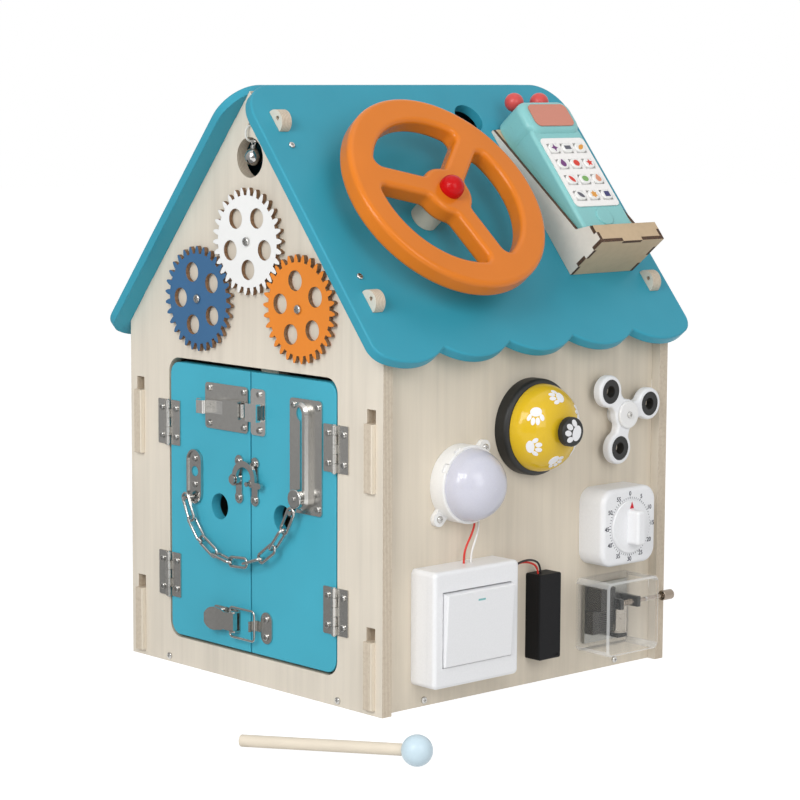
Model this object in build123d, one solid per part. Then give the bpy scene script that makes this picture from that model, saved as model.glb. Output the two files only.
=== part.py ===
from build123d import *
from math import acos, atan2, ceil, cos, degrees, pi, radians, sin, sqrt, tan
import os

os.makedirs("parts", exist_ok=True)

# Activity house of plywood, in millimetres: +Z up, the doors face -Y, the wall of gadgets faces +X.
# The origin is the middle of the underside.

# House shell
house_width = 296.0
house_depth = 300.0
shoulder_rise = 24.0
roof_pitch = 50.7
panel_ply = 9.0
wall_inset = 8.0
tenon_height = 50.0
tenon_notch = 10.0
tenon_proud = 4.0
tenon_chamfer = 0.6
tenon_places = (4.0, 162.0)
floor_screw_x = 100.0
floor_screw_y = 102.0

# Roof panels, measured down the slope from the ridge
roof_ply = 8.0
roof_overhang = 16.0
roof_length = 239.0
roof_corner = 30.0
roof_edge_round = 1.5
scallop_count = 5
scallop_depth = 11.0
cusp_round = 2.5
tab_width = 18.0
tab_places = (35.0, 197.0)
tab_hole = 1.6
porthole_radius = 13.0
porthole_along = 34.0
porthole_across = 48.0
roof_screw_places = (57.0, 175.0)

# Fits
seat_gap = 0.1
run_gap = 0.05
slide_gap = 0.4
clear_gap = 0.3

# Doors
jamb_width = 49.0
opening_height = 219.5
opening_bottom = 21.5
opening_corner = 12.0
door_side_gap = 1.7
door_top_gap = 3.5
door_bottom_gap = 2.0
door_seam = 1.5
door_ply = 8.6
door_corner = 10.0
door_edge_round = 0.8
finger_radius = 10.0
finger_slot_gap = 0.0
finger_rise = 0.5
stop_across = 2.0
stop_width = 20.0
stop_drop = 6.0
stop_height = 20.0
stop_depth = 10.0

# Butt hinges
hinge_height = 35.0
hinge_reach = 13.6
hinge_sheet = 1.0
hinge_barrel = 2.2
hinge_pin = 1.2
hinge_pin_height = 2.4
hinge_knuckles = 5
hinge_foot = 47.0
hinge_head = 47.5
hinge_corner = 1.0
hinge_pin_proud = 0.6
hinge_screw_in = 8.5
hinge_screw_up = 11.0

# Screws
screw_head = 2.6
screw_head_height = 1.6
screw_shank = 1.25
screw_short = 6.5
screw_long = 22.0
screw_recess = 0.7
screw_stop = 2.0

# Fittings on the doors: drops are below the door's top or the fitting above, rises above its bottom
plate_sheet = 1.2
plate_corner = 3.0
root_overlap = 0.5
bolt_drop = 29.5
bolt_plate_width = 51.0
bolt_plate_height = 35.0
bolt_plate_gap = 1.0
bolt_screw_edge = 4.0
bolt_screw_in = 5.0
bolt_bar_width = 10.0
bolt_bar_thick = 4.5
bolt_bar_length = 55.0
bolt_travel = 16.0
bolt_guide_length = 18.0
bolt_guide_in = 4.0
bolt_guide_wall = 1.4
bolt_knob_length = 10.0
bolt_knob_height = 12.0
bolt_nose_in = 0.5
bolt_nose_round = 1.5
bolt_knob_round = 2.5
keeper_width = 17.0
keeper_bridge = 13.0
keeper_bridge_in = 1.0
keeper_screw_shift = 1.5
hook_drop = 53.0
hook_left = 14.0
hook_right = 3.5
hook_screw_up = 13.8
hook_ring_in = 8.6
hook_ring_width = 4.8
hook_thick = 2.5
hook_pivot = 2.0
hook_post = 1.8
hook_plate_shift = 1.5
hook_plate_waist = 7.0
hook_plate_end = 4.6
hook_post_shift = 2.7
hook_post_drop = 1.5
toggle_rise = 22.0
toggle_axis_in = 15.0
toggle_axis_up = 5.0
toggle_base_width = 31.0
toggle_base_height = 18.0
toggle_lever_width = 13.0
toggle_thumb_width = 18.0
toggle_pin = 1.2
toggle_arm = 4.0
toggle_foot = 3.0
toggle_screw_up = 5.5
toggle_ear_thick = 1.2
bail_wire = 0.9
bail_reach = 28.9
bail_height = 23.0
bail_corner = 3.0
catch_in = 19.5
catch_width = 13.0
catch_height = 24.0
catch_screw_up = 6.7
catch_tongue = 8.0
anchor_hinge_gap = 9.55
anchor_drop = 86.5
anchor_width = 18.0
anchor_length = 42.0
anchor_screws = (-6.0, 14.0)
anchor_hole = 4.0
anchor_rim = 1.5
slot_hinge_gap = 1.55
slot_plate_head = 14.5
slot_plate_width = 36.0
slot_plate_length = 85.0
slot_width = 8.0
slot_shift = 2.5
slot_foot = 12.0
slot_head = 11.0
slot_rim = 5.0
slot_rim_height = 5.0
slot_rim_slope = 2.0
slot_screw_side = 4.5
slot_screw_end = 5.0
keyhole_shift = 2.0
keyhole_radius = 6.0
button_radius = 7.2
button_thick = 4.5
chain_links = 9
chain_wire = 1.2
chain_link_width = 9.6
chain_slack = 0.7
chain_post = 1.9
chain_low_across = -1.0
chain_rise = 47.5

# Gears on the gable
gear_teeth = 30
gear_module = 2.5
gear_thick = 3.2
gear_lift = 1.0
gear_hole = 7.5
gear_hole_ring = 21.0
gear_holes = 5
gear_pressure = 20.0
gear_backlash = 0.5
gear_across = 59.0
gear_shift = 1.3
gear_white_rise = 70.0
gear_white_turn = 39.0
gear_blue_turn = 13.5
gear_orange_turn = 7.0
gear_screw_shank = 2.0
gear_screw_head = 3.4
gear_screw_head_height = 2.0

# Jingle bell in the gable, with drops below the ridge
bell_hole_radius = 15.0
bell_hole_gap = 62.0
string_hole_gap = 24.0
string_hole_head = 24.8
string_drop = 12.4
string_stand = 4.0
string_radius = 0.8
string_hole = 1.6
string_knot = 2.2
jingle_radius = 6.75
jingle_shell = 0.8
jingle_band = 0.4
jingle_cap_radius = 2.4
jingle_cap_length = 2.6
jingle_depth = 3.6
jingle_eye = 2.0
jingle_eye_wire = 0.6

# Steering wheel, across and down the right slope
wheel_along = 127.4
wheel_across = -54.8
wheel_radius = 86.0
wheel_rim = 22.0
wheel_thick = 16.0
wheel_lift = 20.0
wheel_hub = 21.0
wheel_spoke = 18.0
wheel_spokes = 3
wheel_phase = 14.0
wheel_round = 4.0
wheel_joint_round = 6.0
wheel_spacer = 11.0
wheel_axle = 4.0
wheel_ball = 9.3
wheel_ball_rise = 2.4
wheel_cap = 3.0
wheel_nut = 8.0
wheel_nut_thick = 6.0

# Telephone and its holder
holder_edge_gap = 32.0
holder_top = 48.0
holder_bottom = 186.0
holder_ply = 3.0
holder_lip_room = 10.1
holder_lip = 16.0
holder_step = 24.0
holder_cheek = 26.0
holder_toe = 2.5
finger_step = 11.0
phone_width = 55.0
phone_length = 109.5
phone_thick = 25.6
phone_side_gap = 3.5
phone_head_width = 57.0
phone_head_length = 32.0
phone_head_thick = 28.6
phone_back_thick = 11.0
phone_round = 11.0
phone_edge = 3.0
phone_head_edge = 6.0
phone_tab_radius = 8.0
phone_tab_gap = 2.0
phone_tab_rise = 1.2
phone_face_width = 42.0
phone_face_length = 21.0
phone_face_corner = 5.0
panel_sheet = 0.8
keypad_width = 48.5
keypad_length = 66.0
keypad_gap = 4.6
keypad_corner = 4.0
key_columns = 3
key_rows = 4
key_width = 10.5
key_length = 9.0
key_corner = 4.2
key_edge = 0.8
key_pitch_across = 14.6
key_pitch_along = 15.2
key_proud = 1.4
key_travel = 1.0
ear_radius = 7.5
ear_spread = 14.0
ear_neck = 3.0
ear_gap = 1.0

# Gaps between the gadgets on the right wall: a low row, a top row and a column at the back.
# Each set shares out the room that the house leaves between its gadgets.
switch_front = 35.0
battery_gap = 32.0
music_gap = 32.05
music_back = 25.25
lamp_front = 53.0
lamp_bell_gap = 7.5
spinner_bell_gap = 17.5
spinner_back = 4.0
music_rise = 17.25
timer_gap = 9.95
spinner_gap = 15.8
spinner_head = 26.5

# Desk bell on the right wall
desk_bell_drop = 67.5
desk_bell_base = 36.5
desk_bell_base_thick = 12.0
desk_bell_dome = 33.0
desk_bell_dome_rise = 25.0
desk_bell_shell = 1.2
desk_bell_post = 5.0
desk_bell_plunger = 3.0
desk_bell_floor = 3.0
desk_bell_rim = 6.0
desk_bell_base_round = 4.0
desk_bell_button = 11.0
desk_bell_button_thick = 6.0
desk_bell_button_round = 2.0
desk_bell_travel = 3.0

# Push lamp
lamp_switch_gap = 29.5
lamp_base_radius = 29.0
lamp_base_thick = 14.0
lamp_wall = 3.0
lamp_dome_radius = 27.0
lamp_dome_rise = 25.0
lamp_dome_shell = 1.5
lamp_ear_reach = 33.5
lamp_ear_radius = 5.5
lamp_ear_thick = 4.0
lamp_ear_angle = 47.0
lamp_floor = 2.0
lamp_notch_depth = 1.5
lamp_notch_width = 7.0
lamp_notch_height = 4.0
lamp_notch_angles = (116.0, 150.0)
lamp_exit_angle = -64.0
lamp_exit_width = 9.0
lamp_exit_height = 9.0
lamp_board_radius = 12.0
lamp_board_thick = 1.5
lamp_chip_radius = 4.0
lamp_chip_thick = 2.4

# Wall switch
switch_rise = 17.5
switch_size = 86.0
switch_box_thick = 17.0
switch_plate_thick = 8.0
switch_wall = 2.5
switch_corner = 4.0
switch_round = 3.0
rocker_width = 68.0
rocker_height = 54.0
rocker_thick = 9.0
rocker_proud = 3.5
rocker_pivot_height = 21.5
rocker_tilt = 3.7
rocker_pin = 1.5
rocker_pin_hold = 3.0
rocker_gap = 0.9
rocker_edge = 1.0
lamp_wire_across = (1.1, 8.1)
lamp_wire_out = 9.0
battery_wire_rise = 33.0
battery_wire_out = (7.6, 10.4)

# Battery box
battery_rise = 20.25
battery_width = 23.2
battery_length = 65.5
battery_thick = 15.0
battery_wall = 1.0
battery_corner = 1.5
battery_cover_thick = 4.0
battery_cell_radius = 5.1
battery_cell_length = 44.5
battery_cell_gap = 4.0
battery_wire_across = (-6.6, -4.0)
battery_wire_deep = 3.0

# Kitchen timer
timer_shift = 3.5
timer_size = 60.0
timer_thick = 25.0
timer_corner = 12.0
timer_edge = 4.0
timer_dial_radius = 20.5
timer_dial_thick = 1.8
timer_knob_length = 27.0
timer_knob_width = 9.5
timer_knob_height = 11.0
timer_knob_corner = 3.0
timer_knob_edge = 2.5
timer_spindle = 3.0
timer_spindle_deep = 7.0

# Music box
music_size = 57.5
music_thick = 34.0
music_wall = 2.0
music_corner = 5.0
music_edge = 2.0
music_bed_in = 3.0
music_bed_end = 6.0
music_bed_thick = 2.5
music_drum_radius = 6.0
music_drum_length = 22.0
music_drum_rise = 12.75
music_drum_shift = 7.0
music_drum_out = 12.0
music_gear_radius = 5.6
music_worm_radius = 2.4
music_shaft = 1.5
music_shaft_gap = 2.0
music_crank_out = 29.25
music_tip_radius = 4.0
music_tip_length = 11.0
music_lug_across = 9.5
music_lug_half = 1.8
music_lug_reach = 4.0
music_comb_root = 7.0
music_comb_thick = 1.0
music_comb_slit = 0.4
music_comb_teeth = 12
music_pin_rows = 9

# Spinner
spinner_arm = 26.5
spinner_lobe = 12.5
spinner_thick = 8.0
spinner_lift = 6.0
spinner_ring = 9.3
spinner_ring_hole = 4.5
spinner_post = 5.0
spinner_cap = 10.5
spinner_cap_thick = 2.0
spinner_phase = 14.0
spinner_waist = 7.0
spinner_lobes = 3
spinner_crease = 5.0
spinner_edge = 2.2
spinner_ring_sunk = 0.4

# Cords
wire_radius = 0.8

# Mallet on the floor
mallet_head = 10.8
mallet_stick = 4.2
mallet_head_right = 260.5
mallet_head_front = 220.5
mallet_end_right = 143.0
mallet_end_front = 276.4
mallet_rest = 0.3
mallet_flat = 0.4

# Worked out from the driving dimensions
pitch = radians(roof_pitch)
half_width = house_width / 2
half_depth = house_depth / 2
wall_height = opening_bottom + opening_height + shoulder_rise
gable_rise = half_width * tan(pitch)
apex_z = wall_height + gable_rise
gable_fit = (gable_rise - string_hole_gap) / (gear_white_rise + bell_hole_gap + string_hole_head)
opening_width = house_width - 2 * jamb_width
wall_outer = half_width - wall_inset
wall_inner = wall_outer - panel_ply
roof_span = house_depth + 2 * roof_overhang
door_width = opening_width - 2 * door_side_gap
door_low = opening_bottom + door_bottom_gap
door_high = opening_bottom + opening_height - door_top_gap
door_height = door_high - door_low
hinge_axis = opening_width / 2 - door_side_gap / 2
hinge_leaf_edge = hinge_axis - hinge_reach
slot_plate_in = hinge_leaf_edge - slot_hinge_gap - slot_plate_width / 2
anchor_in = hinge_leaf_edge - anchor_hinge_gap - anchor_width / 2
finger_across = slot_plate_in - slot_plate_width / 2 - finger_slot_gap - finger_radius
gear_radius = gear_module * gear_teeth / 2
gear_white_height = wall_height + gear_white_rise * gable_fit
gear_low_height = gear_white_height - sqrt((2 * gear_radius) ** 2 - gear_across ** 2)
bell_hole_height = gear_white_height + bell_hole_gap * gable_fit
string_hole_height = bell_hole_height + string_hole_gap
string_low = string_hole_height - string_drop
finger_height = (door_low + door_high) / 2 + finger_rise
hinge_places = (door_low + hinge_foot, door_high - hinge_head)
bolt_height = door_high - bolt_drop
hook_height = bolt_height - hook_drop
toggle_height = door_low + toggle_rise
anchor_height = door_high - anchor_drop
chain_low_height = toggle_height + chain_rise
slot_plate_height = door_high - slot_plate_head - slot_plate_length / 2
slot_bottom = slot_plate_height - slot_plate_length / 2 + slot_foot
slot_top = slot_plate_height + slot_plate_length / 2 - slot_head
slot_in = slot_plate_in - slot_shift
phone_low = holder_ply + clear_gap
holder_width = phone_head_width + 2 * (phone_side_gap + holder_ply)
holder_across = roof_span / 2 - holder_edge_gap - holder_width / 2
holder_lip_height = phone_low + phone_thick + holder_lip_room + holder_ply
spinner_reach = spinner_arm + spinner_lobe
row_room = house_depth - panel_ply - switch_size - battery_width - music_size
row_fit = row_room / (switch_front + battery_gap + music_gap + music_back)
top_room = house_depth - panel_ply - 2 * (lamp_base_radius + desk_bell_base + spinner_reach)
top_fit = top_room / (lamp_front + lamp_bell_gap + spinner_bell_gap + spinner_back)
column_room = wall_height - music_size - timer_size - 2 * spinner_reach
column_fit = column_room / (music_rise + timer_gap + spinner_gap + spinner_head)
switch_across = -half_depth + row_fit * switch_front + switch_size / 2
switch_height = switch_rise + switch_size / 2
battery_across = switch_across + switch_size / 2 + row_fit * battery_gap + battery_width / 2
battery_height = battery_rise + battery_length / 2
music_across = battery_across + battery_width / 2 + row_fit * music_gap + music_size / 2
music_height = column_fit * music_rise + music_size / 2
timer_across = music_across + timer_shift
timer_height = music_height + music_size / 2 + column_fit * timer_gap + timer_size / 2
lamp_across = -half_depth + top_fit * lamp_front + lamp_base_radius
lamp_height = switch_rise + switch_size + lamp_switch_gap + lamp_base_radius
desk_bell_across = lamp_across + lamp_base_radius + top_fit * lamp_bell_gap + desk_bell_base
desk_bell_height = wall_height - desk_bell_drop
spinner_across = desk_bell_across + desk_bell_base + top_fit * spinner_bell_gap + spinner_reach
spinner_height = timer_height + timer_size / 2 + column_fit * spinner_gap + spinner_reach

# Each face has its own drawing plane whose local Z points out of the house
front_face = Plane(origin=(0, -half_depth, 0), x_dir=(1, 0, 0), z_dir=(0, -1, 0))
back_face = Plane(origin=(0, half_depth, 0), x_dir=(-1, 0, 0), z_dir=(0, 1, 0))
right_face = Plane(origin=(wall_outer, 0, 0), x_dir=(0, 1, 0), z_dir=(1, 0, 0))
left_face = Plane(origin=(-wall_outer, 0, 0), x_dir=(0, -1, 0), z_dir=(-1, 0, 0))
right_slope = Plane(origin=(0, 0, apex_z), x_dir=(cos(pitch), 0, -sin(pitch)),
                    z_dir=(sin(pitch), 0, cos(pitch)))
left_slope = Plane(origin=(0, 0, apex_z), x_dir=(-cos(pitch), 0, -sin(pitch)),
                   z_dir=(-sin(pitch), 0, cos(pitch)))

nodes = {}


def block(x0, x1, y0, y1, z0, z1):
    return Pos((x0 + x1) / 2, (y0 + y1) / 2, (z0 + z1) / 2) * Box(x1 - x0, y1 - y0, z1 - z0)


def disc(x, y, radius, z0, z1):
    return Pos(x, y, (z0 + z1) / 2) * Cylinder(radius, z1 - z0)


def rod_along_x(y, z, radius, x0, x1):
    return Pos((x0 + x1) / 2, y, z) * Rot(0, 90, 0) * Cylinder(radius, x1 - x0)


def rod_along_y(x, z, radius, y0, y1):
    return Pos(x, (y0 + y1) / 2, z) * Rot(90, 0, 0) * Cylinder(radius, y1 - y0)


def sheet(outline, z0, z1):
    return Pos(0, 0, z0) * extrude(outline, z1 - z0)


def round_top(solid, radius):
    top = solid.faces().sort_by(Axis.Z)[-1]
    return fillet(top.outer_wire().edges(), radius)


def group(pieces):
    solids = []
    for piece in pieces:
        solids += piece.solids()
    return Compound(children=solids)


def make_screw(length):
    head = disc(0, 0, screw_head, 0, screw_head_height)
    head = fillet(head.edges().group_by(Axis.Z)[-1], screw_head_height * 0.6)
    slot = block(-screw_head * 0.55, screw_head * 0.55, -0.3, 0.3, screw_head_height - screw_recess,
                 screw_head_height)
    return head + disc(0, 0, screw_shank, -length, 0) - slot - Rot(0, 0, 90) * slot


short_screw = make_screw(screw_short)
long_screw = make_screw(screw_long)


def pilot(length, radius=screw_shank):
    return disc(0, 0, radius + run_gap, -length - clear_gap, clear_gap)


def drill(solid, spots, length, radius=screw_shank):
    return solid - [spot * pilot(length, radius) for spot in spots]


# Gable panels, with tabs that stand through the roof
def gable_outline():
    outline = Polygon(
        (-half_width, 0), (half_width, 0), (half_width, wall_height), (0, apex_z),
        (-half_width, wall_height),
        align=None,
    )
    for side in (1, -1):
        for along in tab_places:
            spot = Pos(side * along * cos(pitch), apex_z - along * sin(pitch))
            spot = spot * Rot(0, 0, -side * roof_pitch)
            tab = Rectangle(tab_width, 2 * roof_ply) + Pos(0, roof_ply) * Circle(tab_width / 2)
            hole = Pos(0, roof_ply + tab_width / 4) * Circle(tab_hole)
            outline = outline + spot * (tab - hole)
    slot_width_across = panel_ply + 2 * seat_gap
    for side in (1, -1):
        for low in tenon_places:
            height = tenon_height + tenon_notch
            middle = Pos(side * (wall_inner + panel_ply / 2), low + height / 2)
            outline = outline - middle * Rectangle(slot_width_across, height + 2 * seat_gap)
    return outline


def floor_spots(face, across):
    return [face.location * Pos(x, panel_ply / 2, 0) for x in (-across, across)]


front_floor_spots = floor_spots(front_face, floor_screw_x)
back_floor_spots = floor_spots(back_face, floor_screw_x)
right_floor_spots = floor_spots(right_face, floor_screw_y)
left_floor_spots = floor_spots(left_face, floor_screw_y)
gable_middle = half_depth - panel_ply / 2
right_roof_spots = [
    right_slope.location * Pos(along, across, roof_ply)
    for along in roof_screw_places for across in (-gable_middle, gable_middle)
]
left_roof_spots = [
    left_slope.location * Pos(along, across, roof_ply)
    for along in roof_screw_places for across in (-gable_middle, gable_middle)
]

gear_spots = {
    "white_gear": (gear_shift, gear_white_height),
    "blue_gear": (gear_shift - gear_across, gear_low_height),
    "orange_gear": (gear_shift + gear_across, gear_low_height),
}
gear_top = gear_lift + gear_thick
gear_screw_spots = [front_face.location * Pos(x, z, gear_top + clear_gap) for x, z in gear_spots.values()]
gear_screw_length = gear_top + clear_gap + panel_ply - screw_stop
frame_hinge_spots = [
    front_face.location * Pos(side * (hinge_axis + hinge_screw_in), z + up, seat_gap + hinge_sheet)
    for side in (1, -1) for z in hinge_places for up in (-hinge_screw_up, hinge_screw_up)
]


def make_front_panel():
    outline = gable_outline()
    opening = RectangleRounded(opening_width, opening_height, opening_corner)
    outline = outline - Pos(0, opening_bottom + opening_height / 2) * opening
    outline = outline - Pos(0, bell_hole_height) * Circle(bell_hole_radius)
    outline = outline - Pos(0, string_hole_height) * Circle(string_hole)
    panel = front_face * sheet(outline, -panel_ply, 0)
    panel = drill(panel, front_floor_spots, screw_long)
    panel = drill(panel, right_roof_spots + left_roof_spots, screw_long)
    panel = drill(panel, frame_hinge_spots, screw_short)
    return drill(panel, gear_screw_spots, gear_screw_length, gear_screw_shank)


def make_back_panel():
    panel = back_face * sheet(gable_outline(), -panel_ply, 0)
    panel = drill(panel, back_floor_spots, screw_long)
    return drill(panel, right_roof_spots + left_roof_spots, screw_long)


def make_door_stop():
    top = opening_bottom + opening_height
    back = -panel_ply - seat_gap
    low = top - stop_drop
    return front_face * block(stop_across, stop_across + stop_width, low, low + stop_height,
                              back - stop_depth, back)


nodes["front_panel"] = group([make_front_panel(), make_door_stop()])
nodes["back_panel"] = make_back_panel()


# Side walls, whose tenons stand through the gable panels
def make_wall(side, screw_spots):
    roof_low = apex_z - wall_outer * tan(pitch) - seat_gap
    roof_high = apex_z - wall_inner * tan(pitch) - seat_gap
    profile = Polygon(
        (side * wall_inner, 0), (side * wall_outer, 0), (side * wall_outer, roof_low),
        (side * wall_inner, roof_high),
        align=None,
    )
    wall = extrude(Plane.XZ * profile, half_depth - panel_ply - seat_gap, both=True)
    low_x, high_x = sorted((side * wall_inner, side * wall_outer))
    reach = half_depth + tenon_proud
    root = half_depth - panel_ply - root_overlap
    for low in tenon_places:
        for y0, y1 in ((-reach, -root), (root, reach)):
            tenon = block(low_x, high_x, y0, y1, low, low + tenon_height)
            end = tenon.faces().sort_by(Axis.Y)[0 if y0 < 0 else -1]
            wall = wall + chamfer(end.edges(), tenon_chamfer)
    return drill(wall, screw_spots, screw_long)


lamp_ear_spots = [
    right_face.location * Pos(
        lamp_across + turn * lamp_ear_reach * cos(radians(lamp_ear_angle)),
        lamp_height + turn * lamp_ear_reach * sin(radians(lamp_ear_angle)),
        seat_gap + lamp_ear_thick,
    )
    for turn in (1, -1)
]
spinner_top = spinner_lift + spinner_thick + clear_gap + spinner_cap_thick
spinner_screw_spots = [right_face.location * Pos(spinner_across, spinner_height, spinner_top)]
spinner_screw_length = spinner_top + panel_ply - screw_stop
right_wall = make_wall(1, right_floor_spots)
right_wall = drill(right_wall, lamp_ear_spots, screw_short + lamp_ear_thick)
nodes["right_wall"] = drill(right_wall, spinner_screw_spots, spinner_screw_length)
nodes["left_wall"] = make_wall(-1, left_floor_spots)


def make_floor():
    half_x = wall_inner - seat_gap
    half_y = half_depth - panel_ply - seat_gap
    floor = block(-half_x, half_x, -half_y, half_y, 0, panel_ply)
    spots = front_floor_spots + back_floor_spots + right_floor_spots + left_floor_spots
    return drill(floor, spots, screw_long)


nodes["floor_panel"] = make_floor()


# Roof panels: square at the ridge, scalloped along the eave
def make_roof(slope, screw_spots):
    half_span = roof_span / 2
    outline = Pos(roof_length / 2, 0) * Rectangle(roof_length, roof_span)
    outline = fillet(outline.vertices().group_by(Axis.X)[0], roof_corner)
    width = roof_span / scallop_count
    radius = (width ** 2 / 4 + scallop_depth ** 2) / (2 * scallop_depth)
    for i in range(scallop_count):
        across = -half_span + width * (i + 0.5)
        window = Pos(roof_length, across) * Rectangle(2 * scallop_depth + 1, width)
        outline = outline + (Pos(roof_length + scallop_depth - radius, across) * Circle(radius) & window)
    ends = [v for v in outline.vertices() if abs(abs(v.Y) - half_span) < 0.01 and v.X > roof_length - 1]
    outline = fillet(ends, roof_corner / 2)
    eave = [v for v in outline.vertices() if abs(v.X - roof_length) < 0.01]
    cusps = [v for v in eave if abs(v.Y) < half_span - width / 2]
    outline = fillet(cusps, cusp_round)
    panel = sheet(outline, seat_gap, roof_ply)
    panel = round_top(panel, roof_edge_round)
    tab_slot = Box(tab_width + 2 * seat_gap, panel_ply + 2 * seat_gap, 4 * roof_ply)
    panel = panel - [Pos(a, y, 0) * tab_slot for a in tab_places for y in (-gable_middle, gable_middle)]
    return drill(slope * panel, screw_spots, screw_long)


wheel_spot = right_slope.location * Pos(wheel_along, wheel_across, 0)
porthole_spot = right_slope.location * Pos(porthole_along, porthole_across, roof_ply / 2)
porthole = porthole_spot * Cylinder(porthole_radius, 4 * roof_ply)
right_roof = make_roof(right_slope, right_roof_spots)
right_roof = right_roof - porthole - wheel_spot * Cylinder(wheel_axle + run_gap, 6 * roof_ply)
nodes["right_roof"] = right_roof
nodes["left_roof"] = make_roof(left_slope, left_roof_spots)


# Butt hinges: the frame leaf has the odd knuckles and holds the pin, the door leaf has the even ones
def hinge_leaf(outward, odd):
    half = hinge_height / 2
    notch = hinge_barrel + slide_gap
    low = seat_gap
    x0, x1 = sorted((outward * notch, outward * hinge_reach))
    leaf = block(x0, x1, -half, half, low, low + hinge_sheet)
    leaf = fillet(leaf.edges().filter_by(Axis.Z).group_by(Axis.X)[0 if outward < 0 else -1], hinge_corner)
    step = hinge_height / hinge_knuckles
    for i in range(hinge_knuckles):
        if i % 2 == odd:
            continue
        y0 = -half + step * i + slide_gap / 2
        y1 = y0 + step - slide_gap
        b0, b1 = sorted((0, outward * (notch + root_overlap)))
        bridge = block(b0, b1, y0, y1, hinge_pin_height - hinge_barrel, low + hinge_sheet)
        barrel = rod_along_y(0, hinge_pin_height, hinge_barrel, y0, y1)
        leaf = leaf + bridge + barrel
    return leaf - rod_along_y(0, hinge_pin_height, hinge_pin + run_gap, -half, half)


frame_hinges = []
door_leaves = {1: [], -1: []}
for side in (1, -1):
    for z in hinge_places:
        place = front_face.location * Pos(side * hinge_axis, z, 0)
        frame_leaf = drill(place * hinge_leaf(side, 1), frame_hinge_spots, screw_short)
        pin_end = hinge_height / 2 + hinge_pin_proud
        pin = rod_along_y(0, hinge_pin_height, hinge_pin, -pin_end, pin_end)
        frame_hinges += [frame_leaf, place * pin]
        door_leaves[side].append(place * hinge_leaf(-side, 0))
nodes["frame_hinges"] = group(frame_hinges)


# Doors, with the screws that hold their fittings
def door_spot(x, z, seat):
    return front_face.location * Pos(x, z, seat)


plate_top = seat_gap + plate_sheet
hinge_top = seat_gap + hinge_sheet
bolt_left = -door_seam / 2 - bolt_plate_gap - bolt_plate_width
bolt_right = bolt_left + bolt_plate_width
keeper_left = door_seam / 2 + bolt_plate_gap
keeper_right = keeper_left + keeper_width
bolt_screw_up = bolt_plate_height / 2 - bolt_screw_edge
bolt_screws = (bolt_left + bolt_screw_in, bolt_right - bolt_screw_in)
left_door_spots = [door_spot(x, bolt_height + up, plate_top)
                   for x in bolt_screws for up in (-bolt_screw_up, bolt_screw_up)]
hook_plate_left = -hook_left + hook_plate_shift
left_door_spots += [door_spot(hook_plate_left, hook_height + up, plate_top)
                    for up in (-hook_screw_up, hook_screw_up)]
left_door_spots += [door_spot(-anchor_in, anchor_height + up, plate_top) for up in anchor_screws]
toggle_screw_x = -toggle_axis_in - toggle_base_width * 0.6
left_door_spots += [door_spot(toggle_screw_x, toggle_height + up, plate_top)
                    for up in (-toggle_screw_up, toggle_screw_up)]
left_door_spots += [door_spot(-hinge_axis + hinge_screw_in, z + up, hinge_top)
                    for z in hinge_places for up in (-hinge_screw_up, hinge_screw_up)]
keeper_screw_x = (keeper_left + keeper_right) / 2 + keeper_screw_shift
right_door_spots = [door_spot(keeper_screw_x, bolt_height + up, plate_top)
                    for up in (-bolt_screw_up, bolt_screw_up)]
hook_plate_right = hook_right + hook_post_shift
right_door_spots += [door_spot(hook_plate_right, hook_height + up, plate_top)
                     for up in (-hook_screw_up, hook_screw_up)]
slot_screw_x = slot_plate_width / 2 - slot_screw_side
slot_screw_z = slot_plate_length / 2 - slot_screw_end
right_door_spots += [door_spot(slot_plate_in + x, slot_plate_height + z, plate_top)
                     for x in (-slot_screw_x, slot_screw_x) for z in (-slot_screw_z, slot_screw_z)]
right_door_spots += [door_spot(catch_in, toggle_height + up, plate_top)
                     for up in (-catch_screw_up, catch_screw_up)]
right_door_spots += [door_spot(hinge_axis - hinge_screw_in, z + up, hinge_top)
                     for z in hinge_places for up in (-hinge_screw_up, hinge_screw_up)]


def make_door(side, spots):
    outline = Pos(0, door_low + door_height / 2) * RectangleRounded(door_width, door_height, door_corner)
    half = Rectangle(door_width / 2 - door_seam / 2, door_height + 1)
    middle = side * (door_width + door_seam) / 4
    outline = outline & Pos(middle, door_low + door_height / 2) * half
    door = round_top(sheet(outline, -door_ply, 0), door_edge_round)
    door = door - disc(side * finger_across, finger_height, finger_radius, -2 * door_ply, door_ply)
    return drill(front_face * door, spots, screw_short)


nodes["left_door_panel"] = make_door(-1, left_door_spots)
nodes["right_door_panel"] = make_door(1, right_door_spots)
nodes["left_hinge_leaves"] = group([drill(leaf, left_door_spots, screw_short) for leaf in door_leaves[-1]])
nodes["right_hinge_leaves"] = group([drill(leaf, right_door_spots, screw_short) for leaf in door_leaves[1]])
nodes["left_door_screws"] = group([spot * short_screw for spot in left_door_spots])
nodes["right_door_screws"] = group([spot * short_screw for spot in right_door_spots])


def fitting(solid, spots):
    """A door fitting drawn on the front face, with its screw holes."""
    return drill(front_face * solid, spots, screw_short)


def plate(outline):
    return sheet(outline, seat_gap, plate_top)


# Barrel bolt on the left door, and its keeper on the right door
bar_low = plate_top + clear_gap
bar_high = bar_low + bolt_bar_thick
guide_half = bolt_bar_width / 2 + slide_gap
guide_wall = bolt_guide_wall


def guide(x0, x1):
    outer = block(x0, x1, -guide_half - guide_wall, guide_half + guide_wall, plate_top - root_overlap,
                  bar_high + slide_gap + guide_wall)
    inner = block(x0 - 1, x1 + 1, -guide_half, guide_half, plate_top, bar_high + slide_gap)
    return outer - inner


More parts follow.
